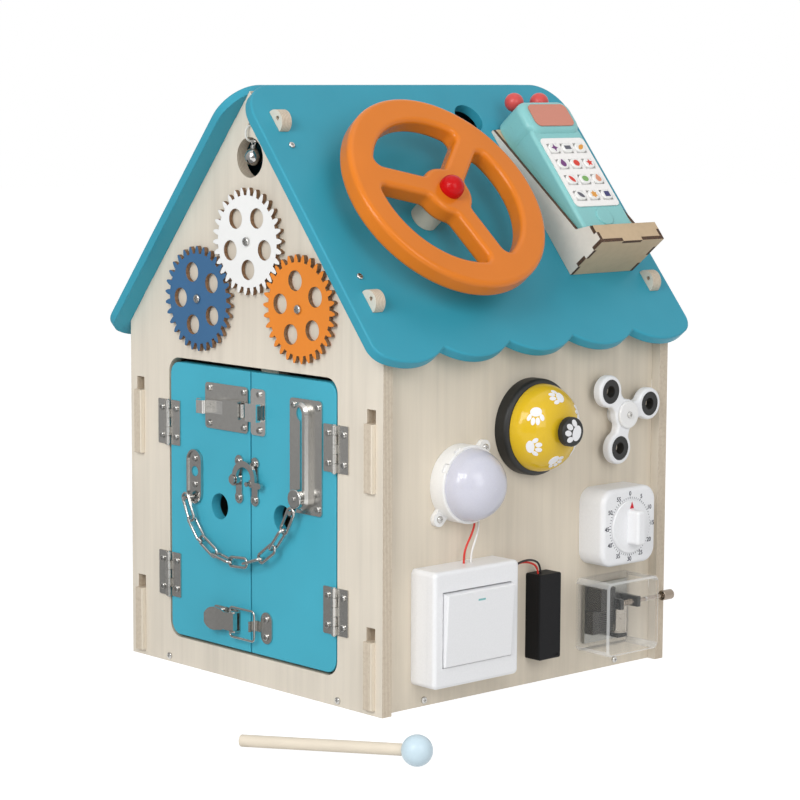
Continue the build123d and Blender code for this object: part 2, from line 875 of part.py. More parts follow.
def make_bolt_plate():
    outline = RectangleRounded(bolt_plate_width, bolt_plate_height, plate_corner)
    outline = Pos((bolt_left + bolt_right) / 2, bolt_height) * outline
    housing = Pos(0, bolt_height, 0) * guide(bolt_right - bolt_guide_in - bolt_guide_length,
                                             bolt_right - bolt_guide_in)
    return fitting(plate(outline) + housing, left_door_spots)


def make_keeper():
    outline = RectangleRounded(keeper_width, bolt_plate_height, plate_corner)
    outline = Pos((keeper_left + keeper_right) / 2, bolt_height) * outline
    bridge_left = keeper_left + keeper_bridge_in
    bridge_right = bridge_left + keeper_bridge
    bridge = Pos(0, bolt_height, 0) * guide(bridge_left, bridge_right)
    gap_right = (bridge_right + keeper_right) / 2
    gap = block(keeper_left - 1, gap_right, -guide_half, guide_half, 0, plate_top)
    return fitting(plate(outline) - Pos(0, bolt_height, 0) * gap + bridge, right_door_spots)


def make_bolt_bar():
    nose = bolt_right - bolt_nose_in
    tail = nose - bolt_bar_length
    half = bolt_bar_width / 2
    bar = block(tail, nose, -half, half, bar_low, bar_high)
    bar = fillet(bar.edges().filter_by(Axis.Y).group_by(Axis.X)[-1], bolt_nose_round)
    knob_right = bolt_right - bolt_guide_in - bolt_guide_length - bolt_travel - 2 * slide_gap
    knob = block(knob_right - bolt_knob_length, knob_right, -half, half, bar_high - root_overlap,
                 plate_top + bolt_knob_height)
    knob = fillet(knob.edges().filter_by(Axis.Y).group_by(Axis.Z)[-1], bolt_knob_round)
    return front_face * Pos(0, bolt_height, 0) * (bar + knob)


nodes["bolt_plate"] = make_bolt_plate()
nodes["bolt_keeper"] = make_keeper()
nodes["bolt_bar"] = make_bolt_bar()


# Swing hook: a pivot plate, a curved arm and a post plate
def bone_plate(x):
    outline = Pos(x, hook_height) * Rectangle(hook_plate_waist, 2 * hook_screw_up)
    for up in (-hook_screw_up, hook_screw_up):
        outline = outline + Pos(x, hook_height + up) * Circle(hook_plate_end)
    return plate(outline)


arm_low = plate_top + screw_head_height + clear_gap
arm_high = arm_low + hook_thick


def make_hook_plate():
    solid = bone_plate(hook_plate_left)
    boss = disc(-hook_left, hook_height, hook_pivot + 2.4, plate_top - root_overlap, arm_low - run_gap)
    pin = disc(-hook_left, hook_height, hook_pivot, plate_top, arm_high + slide_gap + 0.5)
    head = disc(-hook_left, hook_height, hook_pivot + 1.4, arm_high + slide_gap, arm_high + slide_gap + 1.2)
    return fitting(solid + boss + pin + head, left_door_spots)


def make_hook_post_plate():
    solid = bone_plate(hook_plate_right)
    low = hook_height - hook_post_drop
    post = disc(hook_right, low, hook_post, plate_top - root_overlap, arm_high + 2)
    foot = disc(hook_right, low, hook_post + 1.2, plate_top - root_overlap, arm_low - clear_gap)
    return fitting(solid + post + foot, right_door_spots)


def make_hook_arm():
    centre = (-hook_left + 12.0, hook_height + 2.0)
    outer = hook_ring_in + hook_ring_width
    ring = Circle(outer) - Circle(hook_ring_in)
    wedge = Polygon((0, 0), (3 * outer, -1.4 * outer), (0, -4 * outer), (-3 * outer, -0.35 * outer),
                    align=None)
    outline = Pos(*centre) * (ring - wedge)
    outline = outline + Pos(-hook_left, hook_height) * Circle(hook_pivot + 2.6)
    reach = centre[0] + outer
    outline = outline + Pos(reach + 2.2, hook_height - 1.8) * SlotOverall(9.5, 4.4)
    outline = outline - Pos(-hook_left, hook_height) * Circle(hook_pivot + run_gap)
    return front_face * sheet(outline, arm_low, arm_high)


nodes["hook_plate"] = make_hook_plate()
nodes["hook_post_plate"] = make_hook_post_plate()
nodes["hook_arm"] = make_hook_arm()


# Toggle latch: base with two ears, thumb lever, wire bail and catch
ear_in = toggle_lever_width / 2 + clear_gap
lever_axis = (-toggle_axis_in, toggle_axis_up)


def make_toggle_base():
    left = -toggle_axis_in + toggle_foot - toggle_base_width
    outline = RectangleRounded(toggle_base_width, toggle_base_height, plate_corner)
    outline = Pos(left + toggle_base_width / 2, toggle_height) * outline
    base = plate(outline)
    ear_radius_out = toggle_arm - bail_wire - clear_gap
    for side in (1, -1):
        y0, y1 = sorted((side * ear_in, side * (ear_in + toggle_ear_thick)))
        y0, y1 = y0 + toggle_height, y1 + toggle_height
        ear = rod_along_y(lever_axis[0], lever_axis[1], ear_radius_out, y0, y1)
        foot = block(lever_axis[0] - ear_radius_out, lever_axis[0] + ear_radius_out, y0, y1,
                     plate_top - root_overlap, lever_axis[1])
        base = base + ear + foot
    reach = ear_in + toggle_ear_thick
    pin = rod_along_y(lever_axis[0], lever_axis[1], toggle_pin, toggle_height - reach,
                      toggle_height + reach)
    return fitting(base + pin, left_door_spots)


def make_toggle_lever():
    x, up = lever_axis
    thumb = toggle_base_width - toggle_foot
    profile = Polygon(
        (x + 2.3, up - 1.8), (x + 2.3, up + 2.2), (x - thumb + 9, up + 2.2), (x - thumb - 1, up + 5.6),
        (x - thumb - 1.6, up + 4.5), (x - thumb + 9, up + 1.0), (x - toggle_arm - 2.0, up + 1.0),
        (x - toggle_arm - 2.0, up - 1.8),
        align=None,
    )
    half = toggle_lever_width / 2
    thumb_half = toggle_thumb_width / 2
    side_plane = Plane(origin=(0, toggle_height, 0), x_dir=(1, 0, 0), z_dir=(0, -1, 0))
    lever = extrude(side_plane * profile, thumb_half, both=True)
    tip = x - thumb - 1.6
    outline = Polygon(
        (x + 3, half), (x - 9, half), (x - 13, thumb_half - 1), (tip + thumb_half, thumb_half),
        (tip + thumb_half, -thumb_half),
        (x - 13, 1 - thumb_half), (x - 9, -half), (x + 3, -half),
        align=None,
    )
    outline = outline + Pos(tip + thumb_half, 0) * Circle(thumb_half)
    lever = lever & Pos(0, toggle_height, 0) * sheet(outline, 0, 4 * toggle_axis_up)
    lever = lever - rod_along_y(x, up, toggle_pin + run_gap, toggle_height - 2 * half,
                                toggle_height + 2 * half)
    lever = lever - rod_along_y(x - toggle_arm, up, bail_wire + run_gap, toggle_height - 2 * half,
                                toggle_height + 2 * half)
    return front_face * lever


def wire_loop(width, height, corner, radius):
    """Closed wire of round section, centred on the origin in the XY plane."""
    path = RectangleRounded(width, height, corner).wire()
    section = Plane(origin=path @ 0, z_dir=path % 0) * Circle(radius)
    return sweep(section, path=path)


def make_toggle_bail():
    left = lever_axis[0] - toggle_arm
    loop = wire_loop(bail_reach, bail_height, bail_corner, bail_wire)
    return front_face * Pos(left + bail_reach / 2, toggle_height, lever_axis[1]) * loop


def make_toggle_catch():
    wire_x = lever_axis[0] - toggle_arm + bail_reach
    tongue_x = wire_x - bail_wire - clear_gap - plate_sheet - 1.0
    outline = Pos(catch_in, toggle_height) * SlotOverall(catch_height, catch_width, rotation=90)
    strap = Rectangle(catch_in - tongue_x, catch_tongue)
    outline = outline + Pos((tongue_x + catch_in) / 2, toggle_height) * strap
    half = catch_tongue / 2
    tongue = block(tongue_x, tongue_x + plate_sheet, toggle_height - half, toggle_height + half,
                   plate_top - root_overlap, lever_axis[1] + 3)
    return fitting(plate(outline) + tongue, right_door_spots)


nodes["toggle_base"] = make_toggle_base()
nodes["toggle_lever"] = make_toggle_lever()
nodes["toggle_bail"] = make_toggle_bail()
nodes["toggle_catch"] = make_toggle_catch()

# Chain guard: anchor plate, slotted plate, button and chain
chain_out = chain_link_width / 2 + plate_top + clear_gap
anchor_eye = (-anchor_in - 5.0, anchor_height - anchor_length / 2 + 4.0)
button_out = plate_top + slot_rim_height + clear_gap
tab_top = button_out + plate_sheet
button_reach = button_radius + chain_link_width / 2 + slide_gap
button_eye = (slot_in - button_reach * 0.4, slot_bottom - button_reach * 0.92)


def make_chain_anchor():
    outline = Pos(-anchor_in, anchor_height) * SlotOverall(anchor_length, anchor_width, rotation=90)
    outline = outline - Pos(-anchor_in, anchor_height + anchor_hole) * Circle(anchor_hole)
    lug = disc(anchor_eye[0], anchor_eye[1], chain_post, plate_top - root_overlap, chain_out + chain_wire)
    inside = SlotOverall(anchor_length - 2 * anchor_rim, anchor_width - 2 * anchor_rim, rotation=90)
    rim = outline - Pos(-anchor_in, anchor_height) * inside
    rim = sheet(rim, plate_top - root_overlap, plate_top + plate_sheet)
    return fitting(plate(outline) + rim + lug, left_door_spots)


def make_slot_plate():
    outline = RectangleRounded(slot_plate_width, slot_plate_length, plate_corner)
    outline = Pos(slot_plate_in, slot_plate_height) * outline
    middle = (slot_bottom + slot_top) / 2
    length = slot_top - slot_bottom + slot_width
    slot = Pos(slot_in, middle) * SlotOverall(length, slot_width, rotation=90)
    keyhole = Pos(slot_in - keyhole_shift, slot_top) * Circle(keyhole_radius)
    track = Pos(slot_in, middle) * SlotOverall(length + 2 * slot_rim, slot_width + 2 * slot_rim,
                                               rotation=90)
    rim = sheet(track, plate_top - root_overlap, plate_top + slot_rim_height)
    rim = chamfer(rim.faces().sort_by(Axis.Z)[-1].edges(), slot_rim_slope)
    reach = slot_plate_length
    rim = rim & block(slot_in - slot_width / 2, slot_in + reach, middle - reach, middle + reach, 0, reach)
    rim = rim - sheet(slot + keyhole, 0, plate_top + 2 * slot_rim_height)
    return fitting(plate(outline - slot - keyhole) + rim, right_door_spots)


def make_chain_button():
    neck = disc(slot_in, slot_bottom, slot_width / 2 - slide_gap, seat_gap + clear_gap,
                button_out + root_overlap)
    cap = disc(slot_in, slot_bottom, button_radius, button_out, button_out + button_thick)
    cap = round_top(cap, 1.2)
    post = disc(button_eye[0], button_eye[1], chain_post, button_out,
                tab_top + 2 * chain_wire + 2 * clear_gap)
    rivet = round_top(disc(slot_in, slot_bottom, chain_post, button_out,
                           button_out + button_thick + chain_wire), root_overlap)
    middle = ((slot_in + button_eye[0]) / 2, (slot_bottom + button_eye[1]) / 2)
    turn = degrees(atan2(slot_bottom - button_eye[1], slot_in - button_eye[0]))
    tab = sheet(Pos(*middle) * Rot(0, 0, turn) * Rectangle(button_reach, 2 * chain_post), button_out,
                tab_top)
    return front_face * (neck + cap + rivet + post + tab)


def make_chain():
    grip = chain_post + clear_gap
    leave = Vector(0.35, -1, 0).normalized()
    arrive = Vector(0.5, 1, 0).normalized()
    start = Vector(anchor_eye[0], anchor_eye[1], chain_out) - leave * grip
    low = Vector(chain_low_across, chain_low_height, chain_out + 0.5)
    end = Vector(button_eye[0], button_eye[1], tab_top + clear_gap + chain_wire) + arrive * grip
    path = Spline([start, low, end], tangents=[leave, arrive])
    inner = path.length / chain_links + chain_slack
    width = chain_link_width - 2 * chain_wire
    loop = wire_loop(inner + 2 * chain_wire, width, width / 2 - run_gap, chain_wire)
    links = []
    for i in range(chain_links):
        a = path @ (i / chain_links)
        b = path @ ((i + 1) / chain_links)
        along = (b - a).normalized()
        sideways = along.cross(Vector(0, 0, 1)).normalized()
        normal = sideways if i % 2 else sideways.cross(along)
        links.append(front_face * (Plane(origin=(a + b) * 0.5, x_dir=along, z_dir=normal) * loop))
    print("chain length", round(path.length, 1), "link inner length", round(inner, 2))
    return group(links)


nodes["chain_anchor"] = make_chain_anchor()
nodes["chain_slot_plate"] = make_slot_plate()
nodes["chain_button"] = make_chain_button()
nodes["guard_chain"] = make_chain()


# Gears with involute teeth, in mesh at rest
def gear_outline():
    base = gear_radius * cos(radians(gear_pressure))
    tip = gear_radius + gear_module
    root = gear_radius - 1.25 * gear_module
    half_angle = pi / (2 * gear_teeth) - gear_backlash / (2 * gear_radius)
    flank_zero = tan(radians(gear_pressure)) - radians(gear_pressure)

    def flank(radius):
        roll = acos(base / radius)
        return half_angle + flank_zero - (tan(roll) - roll)

    points = []
    steps = 4
    for tooth in range(gear_teeth):
        middle = 2 * pi * tooth / gear_teeth
        radii = [base + 0.01 + (tip - base - 0.01) * i / steps for i in range(steps + 1)]
        left = [(root, flank(radii[0]))] + [(r, flank(r)) for r in radii]
        right = [(r, -a) for r, a in reversed(left)]
        for r, a in [(r, -a) for r, a in left] + [(r, -a) for r, a in right]:
            points.append((r * cos(middle + a), r * sin(middle + a)))
    outline = Polygon(*points, align=None)
    for i in range(gear_holes):
        turn = radians(90 + 360 * i / gear_holes)
        outline = outline - Pos(gear_hole_ring * cos(turn), gear_hole_ring * sin(turn)) * Circle(gear_hole)
    return outline - Circle(gear_screw_shank + run_gap)


gear_template = sheet(gear_outline(), gear_lift, gear_top)
tooth_step = 360 / gear_teeth


def mesh_turn(name, wanted):
    """Turn of a low gear nearest to the wanted one that puts a gap of it on the white gear's tooth."""
    x, z = gear_spots[name]
    white_x, white_z = gear_spots["white_gear"]
    line = degrees(atan2(z - white_z, x - white_x))
    tooth_offset = (gear_white_turn - line) % tooth_step
    turn = (line + 180 - tooth_offset + tooth_step / 2) % tooth_step
    return turn + tooth_step * round((wanted - turn) / tooth_step)


gear_turns = {
    "white_gear": gear_white_turn,
    "blue_gear": mesh_turn("blue_gear", gear_blue_turn),
    "orange_gear": mesh_turn("orange_gear", gear_orange_turn),
}
for name, (x, z) in gear_spots.items():
    nodes[name] = front_face * Pos(x, z, 0) * Rot(0, 0, gear_turns[name]) * gear_template


# Screws that hold the house together, carry the gears and hold the fixtures
def make_gear_screw():
    head = disc(0, 0, gear_screw_head, 0, gear_screw_head_height)
    head = fillet(head.edges().group_by(Axis.Z)[-1], gear_screw_head_height * 0.6)
    slot = block(-2, 2, -0.35, 0.35, gear_screw_head_height - screw_recess, gear_screw_head_height)
    return head + disc(0, 0, gear_screw_shank, -gear_screw_length, 0) - slot - Rot(0, 0, 90) * slot


gear_screw = make_gear_screw()
ear_screw = make_screw(screw_short + lamp_ear_thick)
spinner_screw = make_screw(spinner_screw_length)
house_long_spots = front_floor_spots + back_floor_spots + right_floor_spots + left_floor_spots
house_long_spots += right_roof_spots + left_roof_spots
nodes["house_screws"] = group(
    [spot * long_screw for spot in house_long_spots]
    + [spot * short_screw for spot in frame_hinge_spots]
    + [spot * gear_screw for spot in gear_screw_spots]
    + [spot * ear_screw for spot in lamp_ear_spots]
    + [spot * spinner_screw for spot in spinner_screw_spots]
)


# Cords are tubes of straight runs and tangent arcs
def cord(name, points, radius):
    path_points = [Vector(*p) for p in points]
    radii = []
    for before, here, after in zip(path_points, path_points[1:], path_points[2:]):
        turn = radians((here - before).get_angle(after - here))
        run = min((here - before).length, (after - here).length)
        radii.append(0.45 * run / tan(turn / 2))
    path = FilletPolyline(*path_points, radius=radii)
    section = Plane(origin=path @ 0, z_dir=path % 0) * Circle(radius)
    tube = sweep(section, path=path)
    print(name, "length", round(path.length, 1), "radii", [round(r, 1) for r in radii],
          "volume ratio", round(tube.volume / (pi * radius ** 2 * path.length), 4))
    return tube


# Jingle bell on a string through the gable
def make_string():
    front = -half_depth - string_stand
    back = -half_depth + panel_ply + string_stand
    knot_z = (string_hole_height + string_low) / 2
    route = [
        (0, back, knot_z + 1), (0, back, string_hole_height), (0, front, string_hole_height),
        (0, front, string_low), (0, back, string_low), (0, back, knot_z - 1),
    ]
    tube = cord("jingle_string", route, string_radius)
    return tube + Pos(0, back, knot_z) * Sphere(string_knot)


def make_jingle_bell():
    y = -half_depth + jingle_depth
    eye_z = string_low - jingle_eye + string_radius + jingle_eye_wire + run_gap
    cap_high = eye_z - jingle_eye
    cap_low = cap_high - jingle_cap_length
    middle = cap_low + jingle_shell - jingle_radius
    ball = Pos(0, y, middle) * Sphere(jingle_radius)
    band = Pos(0, y, middle) * Cylinder(jingle_radius + jingle_band, 2.5 * jingle_band)
    slit = block(-jingle_shell, jingle_shell, y - 10, y + 10, middle - 2 * jingle_radius,
                 middle - jingle_radius / 3)
    hollow = Pos(0, y, middle) * Sphere(jingle_radius - jingle_shell)
    cap = round_top(disc(0, y, jingle_cap_radius, cap_low, cap_high), jingle_shell / 2)
    eye = Pos(0, y, eye_z) * Rot(90, 0, 0) * Torus(jingle_eye, jingle_eye_wire)
    return ball + band - slit - hollow + cap + eye


nodes["jingle_string"] = make_string()
nodes["jingle_bell"] = make_jingle_bell()


# Steering wheel on a spacer and axle, with a ball on the hub
wheel_low = roof_ply + wheel_lift
wheel_high = wheel_low + wheel_thick


def make_wheel():
    rim = Circle(wheel_radius) - Circle(wheel_radius - wheel_rim)
    outline = rim + Circle(wheel_hub)
    for i in range(wheel_spokes):
        spoke = Rot(0, 0, wheel_phase + i * 360 / wheel_spokes) * Pos(wheel_radius / 2, 0)
        outline = outline + spoke * Rectangle(wheel_radius - wheel_rim, wheel_spoke)
    inner = [v for v in outline.vertices() if sqrt(v.X ** 2 + v.Y ** 2) < wheel_radius - wheel_rim + 1]
    outline = fillet(inner, wheel_joint_round)
    wheel = sheet(outline, wheel_low, wheel_high)
    faces = wheel.faces().sort_by(Axis.Z)
    wheel = fillet(faces[-1].edges() + faces[0].edges(), wheel_round)
    return wheel - disc(0, 0, wheel_axle + run_gap, wheel_low - 1, wheel_high - wheel_cap)


def make_wheel_post():
    bore = Cylinder(wheel_axle + run_gap, 2 * wheel_radius)
    spacer = disc(0, 0, wheel_spacer, roof_ply + seat_gap, wheel_low - clear_gap)
    axle = disc(0, 0, wheel_axle, -wheel_nut, wheel_high - wheel_cap - 1)
    nut = sheet(RegularPolygon(wheel_nut, 6), -wheel_nut_thick, -seat_gap)
    return [spacer - bore, axle, nut - bore]


def make_wheel_ball():
    sit = wheel_high + seat_gap
    wide = 2 * wheel_ball
    ball = Pos(0, 0, sit + wheel_ball_rise) * Sphere(wheel_ball)
    return ball - block(-wide, wide, -wide, wide, sit - wide, sit)


nodes["steering_wheel"] = wheel_spot * make_wheel()
nodes["wheel_post"] = group([wheel_spot * piece for piece in make_wheel_post()])
nodes["wheel_ball"] = wheel_spot * make_wheel_ball()

# Telephone holder: five finger-jointed plates on the roof
holder_spot = right_slope.location * Pos(0, holder_across, roof_ply + seat_gap)
cheek_out = holder_width / 2
cheek_in = cheek_out - holder_ply


def fingers(length, count, odd):
    """Spans of every other finger along an edge."""
    step = length / count
    return [(i * step, (i + 1) * step) for i in range(count) if i % 2 == odd]


def make_holder():
    profile = Polygon(
        (holder_top, 0), (holder_bottom, 0), (holder_bottom, holder_lip_height),
        (holder_bottom - holder_lip, holder_lip_height), (holder_bottom - holder_step, holder_cheek),
        (holder_top, holder_toe),
        align=None,
    )
    side_plane = Plane(origin=(0, 0, 0), x_dir=(1, 0, 0), z_dir=(0, -1, 0))
    foot_count = ceil(holder_lip_height / finger_step)
    lip_count = 2
    pieces = []
    tooth_gap = seat_gap / 2
    foot_cuts = []
    foot_teeth = []
    for side in (1, -1):
        y0, y1 = sorted((side * (cheek_in - 1), side * cheek_out))
        for low, high in fingers(holder_lip_height, foot_count, 1):
            foot_teeth.append(block(holder_bottom - holder_ply, holder_bottom, y0, y1, low + tooth_gap,
                                    high - tooth_gap))
            foot_cuts.append(block(holder_bottom - holder_ply - tooth_gap, holder_bottom + 1, y0, y1 + side,
                                   low, high))
    lip_teeth = []
    lip_cuts = []
    lip_inner = holder_lip - holder_ply
    for side in (1, -1):
        y0, y1 = sorted((side * (cheek_in - 1), side * cheek_out))
        for low, high in fingers(lip_inner, lip_count, 0):
            u0 = holder_bottom - holder_lip + low
            u1 = holder_bottom - holder_lip + high
            top = holder_lip_height
            lip_teeth.append(block(u0, u1 - tooth_gap, y0, y1, top - holder_ply, top))
            lip_cuts.append(block(u0 - 1, u1, y0, y1 + side, top - holder_ply - tooth_gap, top + 1))
    for side in (1, -1):
        cheek = extrude(side_plane * profile, holder_ply / 2, both=True)
        cheek = Pos(0, side * (cheek_out - holder_ply / 2), 0) * cheek
        pieces.append(cheek - foot_cuts - lip_cuts)
    inner = cheek_in - tooth_gap
    foot = block(holder_bottom - holder_ply, holder_bottom, -inner, inner, 0, holder_lip_height)
    span = 2 * inner / 3
    lip_tab = block(holder_bottom - holder_ply - 1, holder_bottom, -span / 2, span / 2,
                    holder_lip_height - holder_ply, holder_lip_height)
    lip_slot = block(holder_bottom - holder_ply - 1, holder_bottom + 1, -span / 2 - tooth_gap,
                     span / 2 + tooth_gap,
                     holder_lip_height - holder_ply - tooth_gap, holder_lip_height + 1)
    pieces.append(foot - lip_slot + foot_teeth)
    lip = block(holder_bottom - holder_lip, holder_bottom - holder_ply - tooth_gap, -inner, inner,
                holder_lip_height - holder_ply, holder_lip_height)
    pieces.append(lip + lip_teeth + lip_tab)
    pieces.append(block(holder_top, holder_bottom - holder_ply - tooth_gap, -inner, inner, 0, holder_ply))
    return [holder_spot * piece for piece in pieces]


nodes["phone_holder"] = group(make_holder())

# Telephone, resting in the holder
phone_end = holder_bottom - holder_ply - clear_gap
phone_neck = phone_end - phone_length
phone_top = phone_neck - phone_head_length
phone_split = phone_low + phone_back_thick
body_front = phone_low + phone_thick
head_front = phone_low + phone_head_thick
keypad_top = phone_neck + keypad_gap
keypad_middle = keypad_top + keypad_length / 2


def key_spots():
    spots = []
    for row in range(key_rows):
        for column in range(key_columns):
            along = keypad_middle + (row - (key_rows - 1) / 2) * key_pitch_along
            across = (column - (key_columns - 1) / 2) * key_pitch_across
            spots.append((along, across))
    return spots


def slab_outline(start, end, width, corner):
    return Pos((start + end) / 2, 0) * RectangleRounded(end - start, width, corner)


def make_phone_shell():
    body = sheet(slab_outline(phone_neck - phone_round, phone_end, phone_width, phone_round), phone_low,
                 body_front)
    body = round_top(body, phone_edge)
    head = sheet(slab_outline(phone_top, phone_neck, phone_head_width, phone_round), phone_low, head_front)
    head = round_top(head, phone_head_edge)
    tab_along = keypad_top + keypad_length + phone_tab_gap + phone_tab_radius
    tab = round_top(disc(tab_along, 0, phone_tab_radius, body_front - root_overlap,
                         body_front + phone_tab_rise), panel_sheet)
    shell = body + head + tab
    depth = key_travel + 2 * clear_gap
    wells = [
        Pos(along, across, body_front - depth / 2)
        * Box(key_length + 2 * clear_gap, key_width + 2 * clear_gap, depth)
        for along, across in key_spots()
    ]
    shell = shell - wells
    cut = block(phone_top - 1, phone_end + 1, -phone_width, phone_width, phone_split, 2 * phone_width)
    front = shell & cut
    back = shell - Pos(0, 0, -seat_gap) * cut
    return [holder_spot * front, holder_spot * back]


def make_phone_panels():
    outline = slab_outline(keypad_top, keypad_top + keypad_length, keypad_width, keypad_corner)
    keypad = sheet(outline, body_front + seat_gap, body_front + seat_gap + panel_sheet)
    keypad = keypad - [
        Pos(along, across, body_front) * Box(key_length + 2 * clear_gap, key_width + 2 * clear_gap, 10)
        for along, across in key_spots()
    ]
    face_middle = (phone_top + phone_neck) / 2
    outline = slab_outline(face_middle - phone_face_length / 2, face_middle + phone_face_length / 2,
                           phone_face_width, phone_face_corner)
    face = sheet(outline, head_front + seat_gap, head_front + seat_gap + panel_sheet)
    return [holder_spot * keypad, holder_spot * face]


def make_keys():
    low = body_front - clear_gap
    high = body_front + seat_gap + panel_sheet + key_proud
    key = sheet(RectangleRounded(key_length, key_width, key_corner), low, high)
    key = round_top(key, key_edge)
    return [holder_spot * Pos(along, across, 0) * key for along, across in key_spots()]


def make_ears():
    height = phone_low + phone_head_thick / 2
    along = phone_top - ear_radius - ear_gap
    ears = []
    for side in (1, -1):
        ball = Pos(along, side * ear_spread, height) * Sphere(ear_radius)
        neck = rod_along_x(side * ear_spread, height, ear_neck, along, phone_top - seat_gap)
        ears.append(holder_spot * (ball + neck))
    return ears


nodes["phone_shell"] = group(make_phone_shell())
nodes["phone_panels"] = group(make_phone_panels())
nodes["phone_keys"] = group(make_keys())
nodes["phone_ears"] = group(make_ears())

# Desk bell: foot with its post, dome, and push button with the plunger
bell_spot = right_face.location * Pos(desk_bell_across, desk_bell_height, seat_gap)
dome_top = desk_bell_base_thick + desk_bell_dome_rise


def make_bell_base():
    foot = round_top(disc(0, 0, desk_bell_base, 0, desk_bell_base_thick), desk_bell_base_round)
    inner = desk_bell_dome - desk_bell_rim
    foot = foot - disc(0, 0, inner, desk_bell_floor, desk_bell_base_thick + 1)
    slope = desk_bell_post / (desk_bell_dome - desk_bell_shell)
    dome_inside = (desk_bell_dome_rise - desk_bell_shell - seat_gap) * sqrt(1 - slope ** 2)
    post = disc(0, 0, desk_bell_post, desk_bell_floor - root_overlap,
                desk_bell_base_thick + dome_inside - seat_gap)
    return foot + post - disc(0, 0, desk_bell_plunger, desk_bell_floor, dome_top + 1)


def make_bell_dome():
    low = desk_bell_base_thick + seat_gap
    rise = desk_bell_dome_rise - seat_gap
    outer = EllipticalCenterArc((0, low), desk_bell_dome, rise, start_angle=0, arc_size=90)
    inside = desk_bell_dome - desk_bell_shell
    inner = EllipticalCenterArc((0, low), inside, rise - desk_bell_shell, start_angle=0, arc_size=90)
    outline = make_face([outer, inner, Line(outer @ 1, inner @ 1), Line(outer @ 0, inner @ 0)])
    dome = revolve(Plane.XZ * outline, Axis.Z)
    return dome - disc(0, 0, desk_bell_plunger, low, dome_top + 1)


def make_bell_button():
    low = dome_top + desk_bell_travel + clear_gap
    cap = disc(0, 0, desk_bell_button, low, low + desk_bell_button_thick)
    cap = round_top(cap, desk_bell_button_round)
    plunger = disc(0, 0, desk_bell_plunger - run_gap, desk_bell_floor + desk_bell_travel + clear_gap,
                   low + root_overlap)
    return cap + plunger


nodes["bell_base"] = bell_spot * make_bell_base()
nodes["bell_dome"] = bell_spot * make_bell_dome()
nodes["bell_button"] = bell_spot * make_bell_button()

# Push lamp: base ring with ears and a lamp board, and the dome
lamp_spot = right_face.location * Pos(lamp_across, lamp_height, seat_gap)


def make_lamp_base():
    ring = disc(0, 0, lamp_base_radius, 0, lamp_base_thick)
    ring = round_top(ring, 1.0)
    for turn in (0, 180):
        ear = Rectangle(lamp_ear_reach, 2 * lamp_ear_radius)
        outline = Pos(lamp_ear_reach / 2, 0) * ear + Pos(lamp_ear_reach, 0) * Circle(lamp_ear_radius)
        ring = ring + Rot(0, 0, lamp_ear_angle + turn) * sheet(outline, 0, lamp_ear_thick)
    inner = lamp_base_radius - lamp_wall
    ring = ring - disc(0, 0, inner, lamp_floor, lamp_base_thick + 1)
    notch_half = lamp_notch_width / 2
    notch = block(lamp_base_radius - lamp_notch_depth, 2 * lamp_base_radius, -notch_half, notch_half,
                  lamp_base_thick - lamp_notch_height, lamp_base_thick + 1)
    ring = ring - [Rot(0, 0, angle) * notch for angle in lamp_notch_angles]
    exit_half = lamp_exit_width / 2
    exit_slot = block(inner - lamp_wall, lamp_base_radius + lamp_wall, -exit_half, exit_half, lamp_floor,
                      lamp_floor + lamp_exit_height)
    ring = ring - Rot(0, 0, lamp_exit_angle) * exit_slot
    board_low = lamp_floor + seat_gap
    board_high = board_low + lamp_board_thick
    board = disc(0, 0, lamp_board_radius, board_low, board_high)
    chip = disc(0, 0, lamp_chip_radius, board_high - seat_gap, board_high + lamp_chip_thick)
    base = drill(lamp_spot * ring, lamp_ear_spots, screw_short + lamp_ear_thick)
    return [base, lamp_spot * (board + chip)]


def make_lamp_dome():
    seat = lamp_base_thick + seat_gap
    sphere_radius = (lamp_dome_radius ** 2 + lamp_dome_rise ** 2) / (2 * lamp_dome_rise)
    centre = Pos(0, 0, seat + lamp_dome_rise - sphere_radius)
    dome = centre * Sphere(sphere_radius) - centre * Sphere(sphere_radius - lamp_dome_shell)
    wide = 2 * lamp_dome_radius
    return lamp_spot * (dome - block(-wide, wide, -wide, wide, seat - wide, seat))


nodes["lamp_base"] = group(make_lamp_base())
nodes["lamp_dome"] = make_lamp_dome()

# Wall switch: surface box and cover plate, and the rocker
switch_spot = right_face.location * Pos(switch_across, switch_height, seat_gap)
wire_hole = wire_radius + clear_gap
switch_half = switch_size / 2
cover_high = switch_box_thick + switch_plate_thick


def make_switch_case():
    box = sheet(RectangleRounded(switch_size, switch_size, switch_corner), 0, switch_box_thick)
    inner = switch_half - switch_wall
    box = box - block(-inner, inner, -inner, inner, switch_wall, switch_box_thick + 1)
    for x in lamp_wire_across:
        box = box - rod_along_y(x, lamp_wire_out, wire_hole, inner - switch_wall, switch_size)
    for out in battery_wire_out:
        box = box - rod_along_x(battery_wire_rise, out, wire_hole, inner - switch_wall, switch_size)
    cover = RectangleRounded(switch_size, switch_size, switch_corner)
    cover = sheet(cover, switch_box_thick + seat_gap, cover_high)
    cover = round_top(cover, switch_round)
    window_x = rocker_width / 2 + rocker_gap
    window_y = rocker_height / 2 + rocker_gap
    cover = cover - block(-window_x, window_x, -window_y, window_y, 0, cover_high + 1)
    pin_reach = window_x + rocker_pin_hold + clear_gap
    cover = cover - rod_along_x(0, rocker_pivot_height, rocker_pin + run_gap, -pin_reach, pin_reach)
    return [switch_spot * box, switch_spot * cover]


